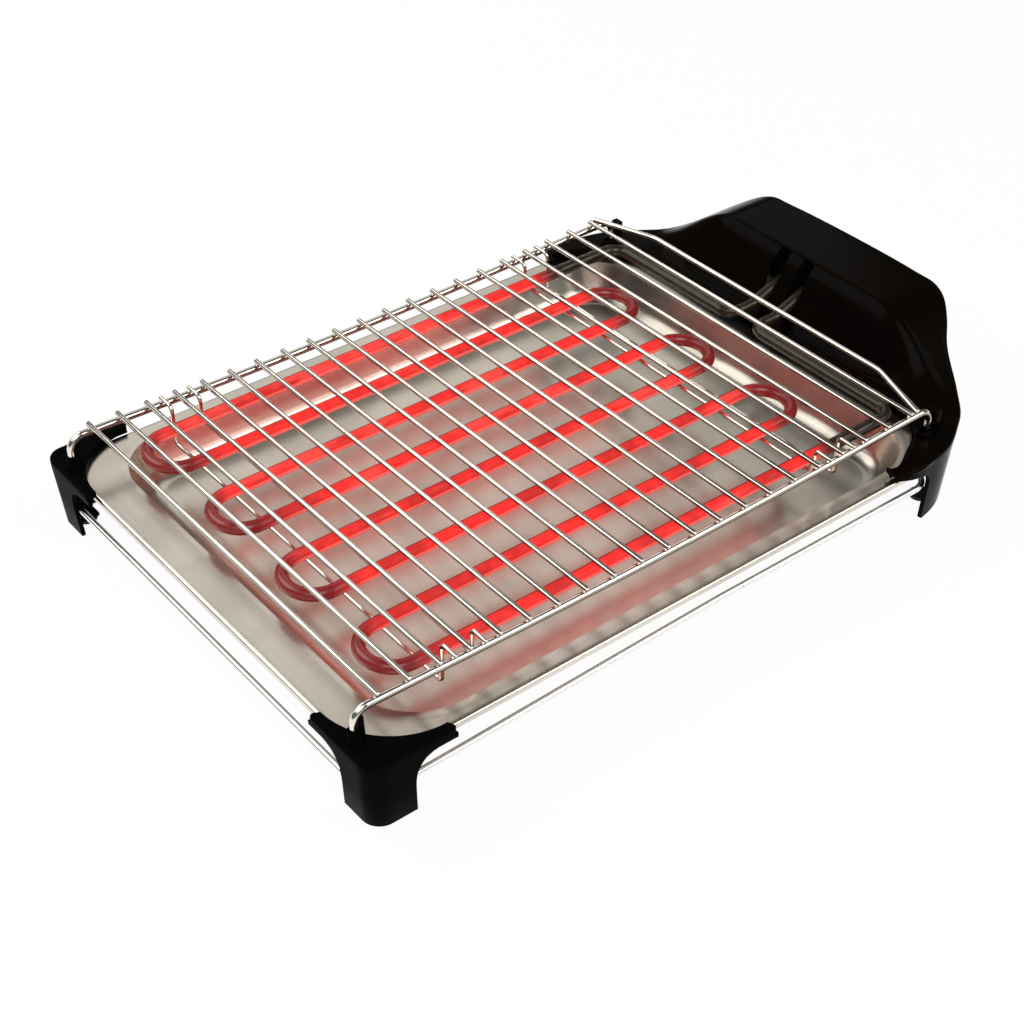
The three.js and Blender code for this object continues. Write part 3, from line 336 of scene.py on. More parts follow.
class Paint:
    """One material: a Principled shader and what feeds it."""

    def __init__(self, name, **sockets):
        self.material = bpy.data.materials.new(name)
        self.material.use_nodes = True
        self.tree = self.material.node_tree
        self.shader = self.tree.nodes["Principled BSDF"]
        for socket, value in sockets.items():
            self.set(socket.replace("_", " "), value)

    def node(self, kind, settings=None, values=None, output=0):
        """Adds a node: its settings first, then the values or links of its sockets."""
        made = self.tree.nodes.new(kind)
        for key, value in (settings or {}).items():
            setattr(made, key, value)
        pairs = values.items() if isinstance(values, dict) else enumerate(values or [])
        for key, value in pairs:
            if isinstance(value, Field):
                self.tree.links.new(value.socket, made.inputs[key])
            else:
                made.inputs[key].default_value = value
        return Field(self, made.outputs[output])

    def set(self, socket, value):
        """Gives a socket of the Principled shader its value or its link."""
        if isinstance(value, Field):
            self.tree.links.new(value.socket, self.shader.inputs[socket])
        else:
            self.shader.inputs[socket].default_value = value

    def end_with(self, shader):
        """Puts another shader in the Principled one's stead."""
        self.tree.nodes.remove(self.shader)
        self.tree.links.new(shader.socket, self.tree.nodes["Material Output"].inputs["Surface"])

    def math(self, operation, first, second):
        """Works on two fields or numbers."""
        return self.node("ShaderNodeMath", {"operation": operation}, [first, second])

    def place(self, stretch=(1.0, 1.0, 1.0)):
        """Object coordinates, stretched: a small factor draws a pattern out along that axis."""
        where = self.node("ShaderNodeTexCoord", output="Object")
        return self.node("ShaderNodeMapping", {}, {"Vector": where, "Scale": stretch})

    def axis(self, name):
        """One of the object coordinates, X, Y or Z, in metres."""
        return self.node("ShaderNodeSeparateXYZ", {}, [self.place()], output=name)

    def stored(self, name):
        """A number that is stored with the piece's vertices."""
        return self.node("ShaderNodeAttribute", {"attribute_name": name}, output="Fac")

    def noise(self, scale, detail, stretch=(1.0, 1.0, 1.0), roughness=0.55):
        """Cloudy noise from 0 to 1, its scale in waves to a metre."""
        values = {
            "Vector": self.place(stretch), "Scale": scale, "Detail": detail, "Roughness": roughness,
        }
        return self.node("ShaderNodeTexNoise", {}, values)

    def band(self, field, start, stop):
        """0 below start, 1 above stop, smooth between."""
        values = {"Value": field, "From Min": start, "From Max": stop}
        return self.node("ShaderNodeMapRange", {"interpolation_type": "SMOOTHSTEP"}, values)

    def blend(self, factor, first, second):
        """The first colour where factor is 0, the second where it is 1. A Mix node's colours are
        its sockets 6 and 7, and its output 2."""
        values = {0: factor, 6: first, 7: second}
        return self.node("ShaderNodeMix", {"data_type": "RGBA"}, values, output=2)

    def bump(self, height, distance, strength, under=None):
        """A relief of a height field, its distance in metres, laid over another if one is given."""
        values = {"Height": height, "Distance": distance, "Strength": strength}
        if under is not None:
            values["Normal"] = under
        return self.node("ShaderNodeBump", {}, values)


def tone(colour, share=1.0):
    """A colour made darker or lighter by a share, as a shader's four numbers."""
    return (*[c * share for c in colour], 1.0)


def chrome_wire(name, tint):
    """Bright chromed drawn wire: mirror-like, with fine draw lines and dull specks, and darkened
    brown on one side as painted shade, where a share of it is stored."""
    paint = Paint(name, Metallic=1.0)
    cloud = paint.noise(90.0, 4.0)
    specks = paint.band(paint.noise(1400.0, 2.0), 0.6, 0.72)
    lines = paint.noise(2600.0, 2.0, (1.0, 0.02, 1.0))
    unshaded = paint.blend(cloud, tone(tint), tone(tint, 0.9))
    # Painted shade: the stored share turns the wire brown and dark on one side.
    painted_shade = paint.stored("painted_shade_share") * 0.9
    paint.set("Base Color", paint.blend(painted_shade, unshaded, tone(SHADE_BROWN)))
    paint.set("Roughness", 0.12 + cloud * 0.06 + specks * 0.12)
    paint.set("Normal", paint.bump(lines, 0.00002, 0.5))
    return paint.material


def tray_sheet():
    """Bright rolled sheet: satin, with cloudy painted reflections in its colour, soft dents and
    faint wiping marks. It is darker on the rear wall, and nearly black on the rear flange as
    painted shade under the housing."""
    paint = Paint("tray_sheet", Metallic=1.0)
    tint = grill().tray_colour
    # Painted reflection: cloudy patches in the sheet's colour stand for soft reflections.
    cloud = paint.band(paint.noise(14.0, 2.0, (1.0, 1.6, 1.0), 0.5), 0.34, 0.66)
    wiped = paint.noise(30.0, 4.0, (1.0, 0.3, 1.0))
    rolled = paint.noise(700.0, 3.0, (0.03, 1.0, 1.0))
    ripple = paint.noise(16.0, 1.5)
    along, level = paint.axis("X"), paint.axis("Z")
    behind = paint.band(along, (LAST - 18) * MM, (LAST - 4) * MM)
    behind = behind * (1.0 - paint.band(level, 34 * MM, 38 * MM))
    # Painted shade: the rear flange under the housing is drawn nearly black.
    housing_shade = paint.band(along, (LAST + 13) * MM, (LAST + 17) * MM)
    sheet = paint.blend(cloud, tone(tint), tone(tint, 0.84))
    # Darker on the rear wall, in a cloudy tone.
    rear_darker = paint.blend(cloud, tone(tint, 0.42), tone(tint, 0.6))
    sheet = paint.blend(housing_shade, sheet, tone(tint, 0.07))
    paint.set("Base Color", paint.blend(behind, sheet, rear_darker))
    paint.set("Roughness", 0.19 + wiped * 0.09 + rolled * 0.03)
    fine = paint.bump(rolled, 0.00001, 0.15)
    paint.set("Normal", paint.bump(ripple, 0.0008, 0.15, fine))
    return paint.material


def heating_tube():
    """Oxidised tube that glows on its straight runs and is black at its cold ends.

    The glow is patchy, with painted highlight streaks. It is dimmed on the underside as painted
    shade, nearly out along a painted shade line at the far side of the top, and paler along a
    painted highlight line low on the near side.
    """
    paint = Paint("heating_tube", Metallic=0.0, Emission_Strength=grill().glow)
    heat, cold = paint.stored("hot_share"), paint.stored("cold_share")
    top, near = paint.stored("top_share"), paint.stored("near_share")
    glow, dull_tint = grill().glow_colour, grill().dull_colour
    scale = paint.noise(160.0, 4.0)
    patch = paint.band(paint.noise(34.0, 3.0), 0.42, 0.6)
    # Painted highlight: pale streaks along the runs.
    highlight_streak = paint.band(paint.noise(95.0, 3.0, (0.22, 1.0, 1.0)), 0.5, 0.66)
    dull = paint.blend(scale, tone(dull_tint), tone(dull_tint, 0.55))
    hot = paint.blend(heat, dull, tone(grill().hot_colour))
    black = paint.blend(scale, tone(OXIDE_BLACK), tone(OXIDE_BROWN))
    paint.set("Base Color", paint.blend(cold, hot, black))
    lit = paint.blend(patch, tone(glow), tone(glow, 0.55))
    lit = paint.blend(highlight_streak * 0.8, lit, tone((glow[0], glow[1] + 0.05, glow[2] + 0.04)))
    # Painted highlight: a pale line low on the near side.
    painted_highlight_line = paint.band(near, 0.88, 0.97) * (1.0 - paint.band(top, 0.5, 0.62))
    lit = paint.blend(painted_highlight_line * 0.6, lit, tone((glow[0], glow[1] + 0.16, glow[2] + 0.13)))
    # Painted shade: the glow is dimmed on the underside.
    bright = paint.blend(paint.band(top, 0.05, 0.3), tone(glow, 0.36), lit)
    # Painted shade: a dark line at the far side of the top.
    painted_shade_line = paint.band(top, 0.74, 0.86) * (1.0 - paint.band(near, 0.28, 0.5))
    bright = paint.blend(painted_shade_line, bright, tone(glow, 0.04))
    shine = paint.blend(heat, tone(glow, 0.09), bright)
    paint.set("Emission Color", paint.blend(cold, shine, tone(BLACK)))
    paint.set("Roughness", 0.2 + scale * 0.15 + heat * 0.35)
    paint.set("Normal", paint.bump(scale, 0.00008, 0.5))
    return paint.material


def moulded_black(name, tint, roughness, grain, level):
    """Black moulded plastic: fine grain, soft mould ripple and faint handling marks."""
    paint = Paint(name, Metallic=0.0, Specular_IOR_Level=level)
    pores = paint.noise(1900.0, 2.0)
    ripple = paint.noise(38.0, 2.0)
    smear = paint.noise(22.0, 4.0, (1.0, 0.4, 1.0))
    paint.set("Base Color", paint.blend(smear, tone(tint), tone(tint, 1.8)))
    paint.set("Roughness", roughness + smear * 0.08 + pores * 0.05)
    fine = paint.bump(pores, 0.00003, grain)
    paint.set("Normal", paint.bump(ripple, 0.0003, 0.2, fine))
    return paint.material


def plated_steel():
    """Zinc-plated steel with spangles and a dull cast."""
    paint = Paint("plated_steel", Metallic=1.0)
    values = {"Vector": paint.place(), "Scale": 420.0}
    cells = paint.node("ShaderNodeTexVoronoi", {}, values, output="Color")
    shade = paint.node("ShaderNodeRGBToBW", {}, [cells])
    cloud = paint.noise(120.0, 3.0)
    paint.set("Base Color", paint.blend(shade, tone(ZINC_DARK), tone(ZINC_PALE)))
    paint.set("Roughness", 0.3 + cloud * 0.2)
    paint.set("Normal", paint.bump(cloud, 0.00004, 0.5))
    return paint.material


def rubber_pad():
    """Black rubber, dusty where it is handled."""
    paint = Paint("rubber_pad", Metallic=0.0)
    dust = paint.noise(300.0, 4.0)
    paint.set("Base Color", paint.blend(dust, tone(RUBBER_BLACK), tone(RUBBER_DUST)))
    paint.set("Roughness", 0.7 + dust * 0.2)
    paint.set("Normal", paint.bump(dust, 0.0001, 0.6))
    return paint.material


def fired_ceramic():
    """Unglazed ceramic: chalky, faintly speckled."""
    paint = Paint("fired_ceramic", Metallic=0.0)
    speck = paint.band(paint.noise(900.0, 2.0), 0.6, 0.75)
    paint.set("Base Color", paint.blend(speck, tone(CERAMIC_PALE), tone(CERAMIC_SPECK)))
    paint.set("Roughness", 0.6 + speck * 0.2)
    paint.set("Normal", paint.bump(speck, 0.00005, 0.5))
    return paint.material


def woven_sleeve():
    """Woven glass sleeve round a wire: two crossing waves of thread."""
    paint = Paint("woven_sleeve", Metallic=0.0)
    settings = {"wave_type": "BANDS", "bands_direction": "DIAGONAL"}
    threads = [
        paint.node("ShaderNodeTexWave", settings, {"Vector": where, "Scale": 700.0}, output="Fac")
        for where in (paint.place(), paint.place((-1, 1, 1)))
    ]
    weave = paint.math("MAXIMUM", *threads)
    paint.set("Base Color", paint.blend(weave, tone(THREAD_DARK), tone(THREAD_PALE)))
    paint.set("Roughness", 0.7 + weave * 0.1)
    paint.set("Normal", paint.bump(weave, 0.0001, 0.6))
    return paint.material


# ---------------------------------------------------------------- settings


class GrillSettings(bpy.types.PropertyGroup):
    """Sizes and colours that a user would change."""

    wire_colour: FloatVectorProperty(
        name="Wire", description="Colour of the chromed wires",
        subtype="COLOR", default=(0.9, 0.86, 0.79),
    )
    frame_colour: FloatVectorProperty(
        name="Low wire", description="Colour of the wire round the legs",
        subtype="COLOR", default=(0.97, 0.97, 0.97),
    )
    tray_colour: FloatVectorProperty(
        name="Tray", description="Colour of the tray's sheet",
        subtype="COLOR", default=(0.78, 0.73, 0.65),
    )
    hot_colour: FloatVectorProperty(
        name="Hot tube", description="Colour of the glowing runs",
        subtype="COLOR", default=(0.22, 0.008, 0.007),
    )
    dull_colour: FloatVectorProperty(
        name="Dull tube", description="Colour of the turns",
        subtype="COLOR", default=(0.2, 0.02, 0.024),
    )
    glow_colour: FloatVectorProperty(
        name="Glow", description="Colour of the light from the runs",
        subtype="COLOR", default=(0.86, 0.014, 0.011),
    )
    plastic_colour: FloatVectorProperty(
        name="Feet", description="Colour of the front feet",
        subtype="COLOR", default=(0.0015, 0.0015, 0.0016),
    )
    housing_colour: FloatVectorProperty(
        name="Housing", description="Colour of the housing",
        subtype="COLOR", default=(0.002, 0.0014, 0.001),
    )
    glow: FloatProperty(
        name="Glow strength", description="Brightness of the hot runs", default=1.0, min=0.0
    )
    wire_sides: IntProperty(
        name="Wire sides", description="Facets round a wire", default=20, min=8
    )
    edge: FloatProperty(
        name="Edge radius", description="Rounding of the moulded edges, in millimetres",
        default=0.7, min=0.1,
    )
    lens: FloatProperty(
        name="Lens", description="Focal length of the camera", default=66.79, unit="CAMERA"
    )


def grill():
    return bpy.context.scene.grill_settings


# ---------------------------------------------------------------- dressing

# Where the painted shade on a wire starts and where it is full:
SHADE_FROM, SHADE_FULL = 0.58, 0.33  # cosines of the angle from a wire's bright side
BRIGHT_SIDE = np.array([-0.12, -0.1, 0.99])


def dress(piece, material):
    """Gives a piece one material."""
    piece.data.materials.clear()
    piece.data.materials.append(material)


def shown(piece, body, material, slot, *nodes):
    """Gives a piece its finish and its body, and hides the solids that it stands for."""
    dress(piece, material)
    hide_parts(*nodes)
    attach(piece, body)


def store(piece, name, values):
    """Stores one number for each vertex."""
    layer = piece.data.attributes.new(name, "FLOAT", "POINT")
    layer.data.foreach_set("value", np.asarray(values, np.float32).reshape(-1))


def shade_underside(piece, grids):
    """Stores how much painted shade each place on a wire gets: the wire is drawn darker and browner
    away from its bright side. The shade is 0 on its bright side, a little in front of the top, and
    1 below: it grows evenly as the cosine of the angle from that side, taken as a share of the
    ring's largest, falls from 0.58 to 0.33."""
    painted_shade = []
    for grid in grids:
        facing = (grid - grid.mean(1)[:, None]) @ BRIGHT_SIDE
        facing = facing / np.maximum(np.abs(facing).max(1), 1e-6)[:, None]
        painted_shade.append(np.clip((SHADE_FROM - facing) / (SHADE_FROM - SHADE_FULL), 0, 1).reshape(-1))
    store(piece, "painted_shade_share", np.concatenate(painted_shade))


# ---------------------------------------------------------------- the grate

ROD_BEND, SAG_BEND = 7.5, 60.0
WELD_REACH = (1.5, 1.0, 0.8)  # along, across and up
WELD_RISE = 0.2  # from the side rod's upper side to the middle of a weld
HANGER_BEND = 3
HANDLE_BEND = 22
WIRE_SMOOTH = 50


def weld(x, y, z):
    """A small squashed bead of metal where a wire is welded to a side rod: an ellipsoid, its
    reach each way times (cos b * cos a, cos b * sin a, sin b) on a grid of b and a."""
    turn = np.linspace(0, FULL_TURN, 12, endpoint=False)
    rise = np.linspace(0.2 - QUARTER_TURN, QUARTER_TURN - 0.2, 7)[:, None]
    out = np.cos(rise)
    ball = [out * np.cos(turn), out * np.sin(turn), np.tile(np.sin(rise), len(turn))]
    return (np.array([x, y, z]) + np.stack(ball, 2) * WELD_REACH)[::-1]


def welds(x, rod_x):
    """The two welds at x, on the side rods' upper sides at rod_x."""
    return [weld(x, side * ROD_Y, rod_top(rod_x) + WELD_RISE) for side in (-1, 1)]


def bent_wire(corners, radii, wide, across, round_ends):
    """A wire of a given thickness, bent round its corners."""
    return tube(bent_path(corners, radii), wide / 2, across, grill().wire_sides, round_ends)


def grate_piece(node, ending, grids):
    """One piece of the grate, its wire and its welds in one mesh, chromed, with painted shade
    below.
    """
    piece = surface(f"{node}_{ending}", grids, WIRE_SMOOTH)
    shade_underside(piece, grids)
    shown(piece, "grate", bpy.data.materials["chrome_wire"], "chrome", node)


class GRILL_OT_cross_wires(bpy.types.Operator):
    """Lay the straight cross wires with their welds on the side rods"""

    bl_idname = "grill.cross_wires"
    bl_label = "Cross wires"

    def execute(self, context):
        chrome_wire("chrome_wire", grill().wire_colour)
        for name in WIRES:
            a, b, (x, _, z) = span(name)
            line = bent_wire([(x, a[1], z), (x, b[1], z)], 0, b[2] - a[2], (0, 0, 1), 0.5)
            grate_piece(name, "drawn", [line, *welds(x, x)])
        return {"FINISHED"}


class GRILL_OT_side_rods(bpy.types.Operator):
    """Bend the two thick side rods down at both ends"""

    bl_idname = "grill.side_rods"
    bl_label = "Side rods"

    def execute(self, context):
        r = ROD_WIDE / 2
        for name in ("side_rod_near", "side_rod_far"):
            a, b, (_, y, _) = span(name)
            front, rear, level, foot = a[0] + r, b[0] - r, rod_top(FIRST) - r, a[2]
            sag = [(x, y, rod_top(x) - r) for x in np.linspace(FIRST, LAST, 17)[1:-1]]
            corners = [(front, y, foot), (front, y, level), *sag]
            corners += [(rear, y, level), (rear, y, foot + 2.5)]
            radii = [ROD_BEND, ROD_BEND, *[SAG_BEND] * len(sag), ROD_BEND, ROD_BEND]
            grate_piece(name, "bent", [bent_wire(corners, radii, ROD_WIDE, (0, 1, 0), 0.8)])
        return {"FINISHED"}


class GRILL_OT_handle_and_hangers(bpy.types.Operator):
    """Bend the handle wire and the four wires that carry the heating element"""

    bl_idname = "grill.handle_and_hangers"
    bl_label = "Handle and hangers"

    def execute(self, context):
        a, b, (_, _, level) = span("handle_wire")
        foot, reach, shoulder = LAST + 3.7, LAST + 17.5, ROD_Y - 38
        corners = [(foot, a[1] + 0.5, level), (reach, -shoulder, level)]
        corners += [(reach, shoulder, level), (foot, b[1] - 0.5, level)]
        handle = bent_wire(corners, HANDLE_BEND, b[2] - a[2], (0, 0, 1), 0.6)
        grate_piece("handle_wire", "bent", [handle, *welds(foot + 1, LAST)])
        for i in range(1, 5):
            name = f"hanger_wire_{i}"
            a, b, (x, _, _) = span(name)
            wide = b[0] - a[0]
            top, bottom, inner = b[2] - wide / 2, a[2] + wide / 2, ROD_Y - 9.9
            near = [(x, -b[1], top), (x, -inner, top), (x, -inner, bottom)]
            far = [(px, -py, pz) for px, py, pz in reversed(near)]
            hanger = bent_wire(near + far, HANGER_BEND, wide, (1, 0, 0), 0.5)
            grate_piece(name, "bent", [hanger, *welds(x, x)])
        return {"FINISHED"}


# ---------------------------------------------------------------- the heating element

RUNS, RUN_GAP = 8, 32.0
TURN_RADIUS = 15.97  # just under half the gap, so that two bends make a half circle
TUBE_RADIUS, TUBE_SIDES = 3.5, 28
COLD_ENDS = (4.5 + 9.2, 4.5 - 9.2)  # where the cold ends lie across, and their slots
ELEMENT_LEVEL = 51.5
PIVOT_X, PIVOT_Z = LAST + 54, 62.5


def run_y(run):
    """Where a run lies across, counted from 0 at the near side."""
    return (run - (RUNS - 1) / 2) * RUN_GAP


def cold_end(y):
    """Corners of one cold end: down out of the terminal block, then level to the rear run."""
    rise, cross = LAST + 24, LAST + 7
    slope = (PIVOT_Z - ELEMENT_LEVEL) / (PIVOT_X - rise)
    start = (PIVOT_X - 3, y, PIVOT_Z - 3 * slope)
    return [start, (rise, y, ELEMENT_LEVEL), (cross, y, ELEMENT_LEVEL)]


def element_corners():
    """The tube's corners from one cold end to the other, with the radius of each bend: out of the
    housing, across the rear, to and fro over eight runs, and back."""
    far, near = (cold_end(y) for y in COLD_ENDS)
    across = near[-1][0]
    ends = (FIRST + 16, LAST - 28)
    turns = [
        (ends[turn % 2], run_y(run), ELEMENT_LEVEL)
        for turn in range(RUNS - 1) for run in (turn, turn + 1)
    ]
    corners = [*near, (across, run_y(0), ELEMENT_LEVEL), *turns]
    corners += [(across, run_y(RUNS - 1), ELEMENT_LEVEL), *far[::-1]]
    return corners, [0, 9, 9, 10, *[TURN_RADIUS] * len(turns), 10, 9, 9, 0]


class GRILL_OT_heating_element(bpy.types.Operator):
    """Bend the heating element and store how hot each place is"""

    bl_idname = "grill.heating_element"
    bl_label = "Heating element"

    def execute(self, context):
        path = divided(bent_path(*element_corners(), fineness=4.0), 6)
        grid = tube(path, TUBE_RADIUS, (0, 0, 1), TUBE_SIDES, 0)
        piece = surface("heating_element_tube", [grid], 60)
        centre = grid.mean(1)
        x, y = centre[:, 0], centre[:, 1]
        # On every other run the glow starts and ends 8 to 16 mm further back.
        late = np.where(np.round(y / RUN_GAP + (RUNS - 1) / 2) % 2 == 0, 1.0, 0.0)
        heat = ramp(x, FIRST + 20 + 10 * late, FIRST + 34 + 16 * late)
        heat = heat * (1 - ramp(x, LAST - 60 + 8 * late, LAST - 46 + 10 * late))
        outermost = np.abs(np.abs(y) - run_y(RUNS - 1)) < 8
        cold = np.where(x > LAST - 26, 1.0, ramp(x, LAST - 56, LAST - 42) * outermost)
        store(piece, "hot_share", np.repeat(heat, TUBE_SIDES))
        store(piece, "cold_share", np.repeat(cold, TUBE_SIDES))
        up, nearer = grid[:, :, 2] - centre[:, None, 2], centre[:, None, 1] - grid[:, :, 1]
        store(piece, "top_share", up / TUBE_RADIUS * 0.5 + 0.5)
        store(piece, "near_share", nearer / TUBE_RADIUS * 0.5 + 0.5)
        shown(piece, "grate", heating_tube(), "element_tube", "heating_element")
        return {"FINISHED"}


# ---------------------------------------------------------------- the tray

SHEET = 0.8
TRAY_FLOOR, WALL_FOOT = 17.0, 23.5
FILLET = 12
WALL_LEAN, WALL_REACH = math.radians(27.0), 7.1
BASIN_CORNER = 34
ROLL, ROLL_RISE = 6, 0.04
HEM, HEM_DROP = 1.6, 3.0


class GRILL_OT_drip_tray(bpy.types.Operator):
    """Press the drip tray: flat floor, round fillet, leaning wall, flange and hem"""

    bl_idname = "grill.drip_tray"
    bl_label = "Drip tray"

    def loops(self, sheet):
        """Loops of the upper face, or of the lower one when sheet is its thickness.

        From the middle out the profile is the flat floor, a circle of radius 12 into a wall that
        leans 27 degrees, the straight wall, a roll that swells as the square of a sine by 0.04,
        the flange, and a quarter circle down into the hem.
        """
        a, b = low("drip_tray"), high("drip_tray")
        flange = b[2] - 1.2

        def basin(out, level):
            front, rear, side = FIRST + 8 - out, LAST + 12 + out, SIDE_LINE + 3.5 + out
            corner = BASIN_CORNER + out
            return rounded_loop(front, rear, side, corner, corner, level)

        def edge(into, level):
            front, rear, side = a[0] + into, b[0] - into, b[1] - into
            return rounded_loop(front, rear, side, 16 - into, 36 - into, level)

        centre, radius = WALL_REACH + FILLET * math.cos(WALL_LEAN), FILLET + sheet
        loops = [basin(-30, TRAY_FLOOR - sheet), basin(-22, TRAY_FLOOR - sheet)]
        for angle in np.linspace(0, QUARTER_TURN - WALL_LEAN, 12):
            level = TRAY_FLOOR + FILLET - radius * math.cos(angle)
            loops.append(basin(radius * math.sin(angle) - centre, level))
        shift = sheet * math.cos(WALL_LEAN)
        for share in (0.35, 0.7, 0.93):
            level = WALL_FOOT + (flange - WALL_FOOT) * share - sheet * math.sin(WALL_LEAN)
            loops.append(basin(shift - WALL_REACH * (1 - share), level))
        for place in np.linspace(0, 1, 15):
            level = flange + ROLL_RISE * math.sin(math.pi * place) ** 2
            level -= sheet * (0.55 + 0.45 * place)
            loops.append(basin(ROLL * place + shift * (1 - place), level))
        loops.append(edge(3.0, flange - sheet))
        bend = HEM - sheet * 0.6
        for angle in np.linspace(0, QUARTER_TURN, 6):
            loops.append(edge(HEM - bend * math.sin(angle), flange - HEM + bend * math.cos(angle)))
        loops.append(edge(HEM - bend, flange - HEM_DROP))
        return loops

    def execute(self, context):
        loops = self.loops(0.0) + self.loops(SHEET)[::-1]
        piece = surface("drip_tray_pressed", [np.array(loops)], 60)
        shown(piece, "base", tray_sheet(), "bright_sheet", "drip_tray")
        return {"FINISHED"}


# ---------------------------------------------------------------- the front feet

# A foot is drawn about the place where the first cross wire meets the side line. It is alike
# both ways.
FOOT_OUT, FOOT_IN, FOOT_WALL = 19.5, 28.5, 2.4
FOOT_CORNER = 10
PLATE_FLOOR, PLATE_TOP = 37.8, 41.4
LEG_LEAN = 2.7  # how far the leg is drawn in from the plate down to the sole
SOLE = 0.8  # level of the legs' lower ends
# The leg wall's lower edge: (place along the arm, level).
LEG_EDGE = np.array([
    (28.5, 34.8), (17.7, 34.8), (14.5, 34.2), (11.5, 33.0), (9.2, 31.2), (7.5, 29.0),
    (6.2, 26.8), (5.2, 24.0), (4.7, 21.0), (4.4, 17.5), (4.25, 8.0), (4.2, 0.8),
])


def foot_plate():
    """The scooped plate: a square with a rounded outer corner, less a circle, with round tips."""
    tip = 2.6
    outline = np.concatenate([
        arc(FOOT_IN - tip, -FOOT_OUT + tip, tip, -90, 0, 6),
        arc(26.5, 26.5, 40.0, -87.1, -182.9, 40)[1:-1],
        arc(-FOOT_OUT + tip, FOOT_IN - tip, tip, 90, 180, 6),
        arc(FOOT_CORNER - FOOT_OUT, FOOT_CORNER - FOOT_OUT, FOOT_CORNER, 180, 270, 14),
    ])
    return slab(outline, PLATE_FLOOR, PLATE_TOP, grill().edge)


def leg_wall():
    """The angled leg wall. Along its length the outer face follows an L with a round corner; at
    each place its section runs down the outside to the lower edge, round it, and up the inside.
    Everything is drawn in towards the bottom in step with the height."""
    arm = np.interp(np.linspace(0, 1, 46), np.linspace(0, 1, len(LEG_EDGE)), LEG_EDGE[:, 0])
    straight = np.concatenate([arm, np.linspace(4.0, FOOT_CORNER - FOOT_OUT + 0.1, 5)])
    fall = np.interp(straight, LEG_EDGE[::-1, 0], LEG_EDGE[::-1, 1])
    bend = np.radians(np.linspace(270, 180, 15))[1:-1]
    round_corner = np.stack([np.cos(bend), np.sin(bend)], 1)
    side = np.full(len(straight), -FOOT_OUT)
    normal = np.concatenate([
        np.tile([0.0, 1.0], (len(straight), 1)), -round_corner,
        np.tile([1.0, 0.0], (len(straight), 1)),
    ])
    outer = np.concatenate([
        np.stack([straight, side], 1), FOOT_CORNER - FOOT_OUT + FOOT_CORNER * round_corner,
        np.stack([side, straight[::-1]], 1),
    ])
    lower = np.concatenate([fall, np.full(len(bend), LEG_EDGE[-1, 1]), fall[::-1]])
    turn = np.linspace(0, math.pi, 7)
    across = FOOT_WALL / 2 * (1 - np.cos(turn))
    depth = np.concatenate([[0.0, 0.0], across, [FOOT_WALL, FOOT_WALL]])
    high_share = np.concatenate([[1.0, 0.5], np.zeros(7), [0.5, 1.0]])
    lift = np.concatenate([[0.0, 0.0], grill().edge * (1 - np.sin(turn)), [0.0, 0.0]])
    top, lean_top = PLATE_FLOOR + 0.4, PLATE_FLOOR + 0.3
    z = lower[:, None] + (top - lower)[:, None] * high_share + lift
    flat = outer[:, None] + normal[:, None] * depth[None, :, None]
    lean = LEG_LEAN * (lean_top - z) / (lean_top - SOLE)
    return np.concatenate([flat + np.maximum(lean, 0)[:, :, None], z[:, :, None]], 2)


def foot_fin():
    """The fin that fills the rod's bend: its side outline is raised across to its thickness."""
    half = 1.6
    outline = np.concatenate([
        [(-10.33, 41.2), (-7.3, 41.2), (-7.8, 49.5), (-8.06, 55.2), (-8.57, 55.5)],
        arc(-5.1, 52.0, 5.2, 140, 178, 5),
    ])
    loops = slab(outline, -half, half, 0.3)
    return np.stack([loops[..., 0], half - loops[..., 2], loops[..., 1]], 2)


def foot_collar():
    """The ring round the rod's end, as a turned profile with a blind hole."""
    top, floor = PLATE_TOP + 2.5, PLATE_FLOOR + 1.2
    hole = [(0.01, floor), (2.35, floor), (2.35, top + 4.6)]
    sleeve = [(2.6, top + 5.0), (3.0, top + 4.8), (3.2, top + 4.2), (3.4, top)]
    ring = [(3.8, top - 0.2), (4.0, top - 0.7), (4.0, PLATE_TOP - 0.3), (0.01, PLATE_TOP - 0.6)]
    return lathe(hole + sleeve + ring, -12.6, 1.6)


def foot_inside():
    """The sole's web and the two ribs that hold the low wire."""
    sole = [(-8.0, -14.8), (-1.5, -14.8), (-1.5, -1.5), (-14.8, -1.5), (-14.8, -8.0)]
    sole.append((-12.6, -12.6))
    rib = [(-15.6, 17.5), (-6.0, 17.5), (-6.0, 28.5), (-15.6, 28.5)]
    web, rib = slab(np.array(sole), 2.5, 4.9, 0.3), slab(np.array(rib), -0.6, 1.8, 0.3)
    one = np.stack([rib[..., 0], rib[..., 2], rib[..., 1]], 2)
    two = np.stack([rib[..., 2], rib[..., 0], rib[..., 1]], 2)
    return [web, one, two]


class GRILL_OT_front_feet(bpy.types.Operator):
    """Mould the two front corner feet with their collars, fins and ribs"""

    bl_idname = "grill.front_feet"
    bl_label = "Front feet"

    def execute(self, context):
        plastic = moulded_black("satin_plastic", grill().plastic_colour, 0.24, 0.4, 0.006)
        grids = [foot_plate(), leg_wall(), foot_fin(), foot_collar(), *foot_inside()]
        near = [grid + np.array([FIRST, -SIDE_LINE, 0.0]) for grid in grids]
        far = [mirrored(grid) for grid in near]
        for name, placed in (("front_foot_near", near), ("front_foot_far", far)):
            piece = surface(f"{name}_moulded", placed, 35)
            shown(piece, "base", plastic, "satin_black", name)
        return {"FINISHED"}


# ---------------------------------------------------------------- the housing

WING_X, REAR_X = LAST - 23.0, LAST + 91.5
SIDE_Y = SIDE_LINE + 16.7
WING_TOP, DOME_RISE = 44.0, 35.5
DOME_FRONT, DOME_RUN = LAST + 26, 26.0
DOME_HALF, DOME_SIDE = 58.4, 68.3
HOUSING_WALL, HOUSING_ROLL = 2.4, 2.2
WING_FLOOR = 38.4
LEG_END, SKIRT_RISE = LAST + 37.5, 7.2  # behind its leg the wall ends this much over the sole
SLOT_FLOOR, SLOT_TOP = 49.8, 95.0  # from inside the shell to over it
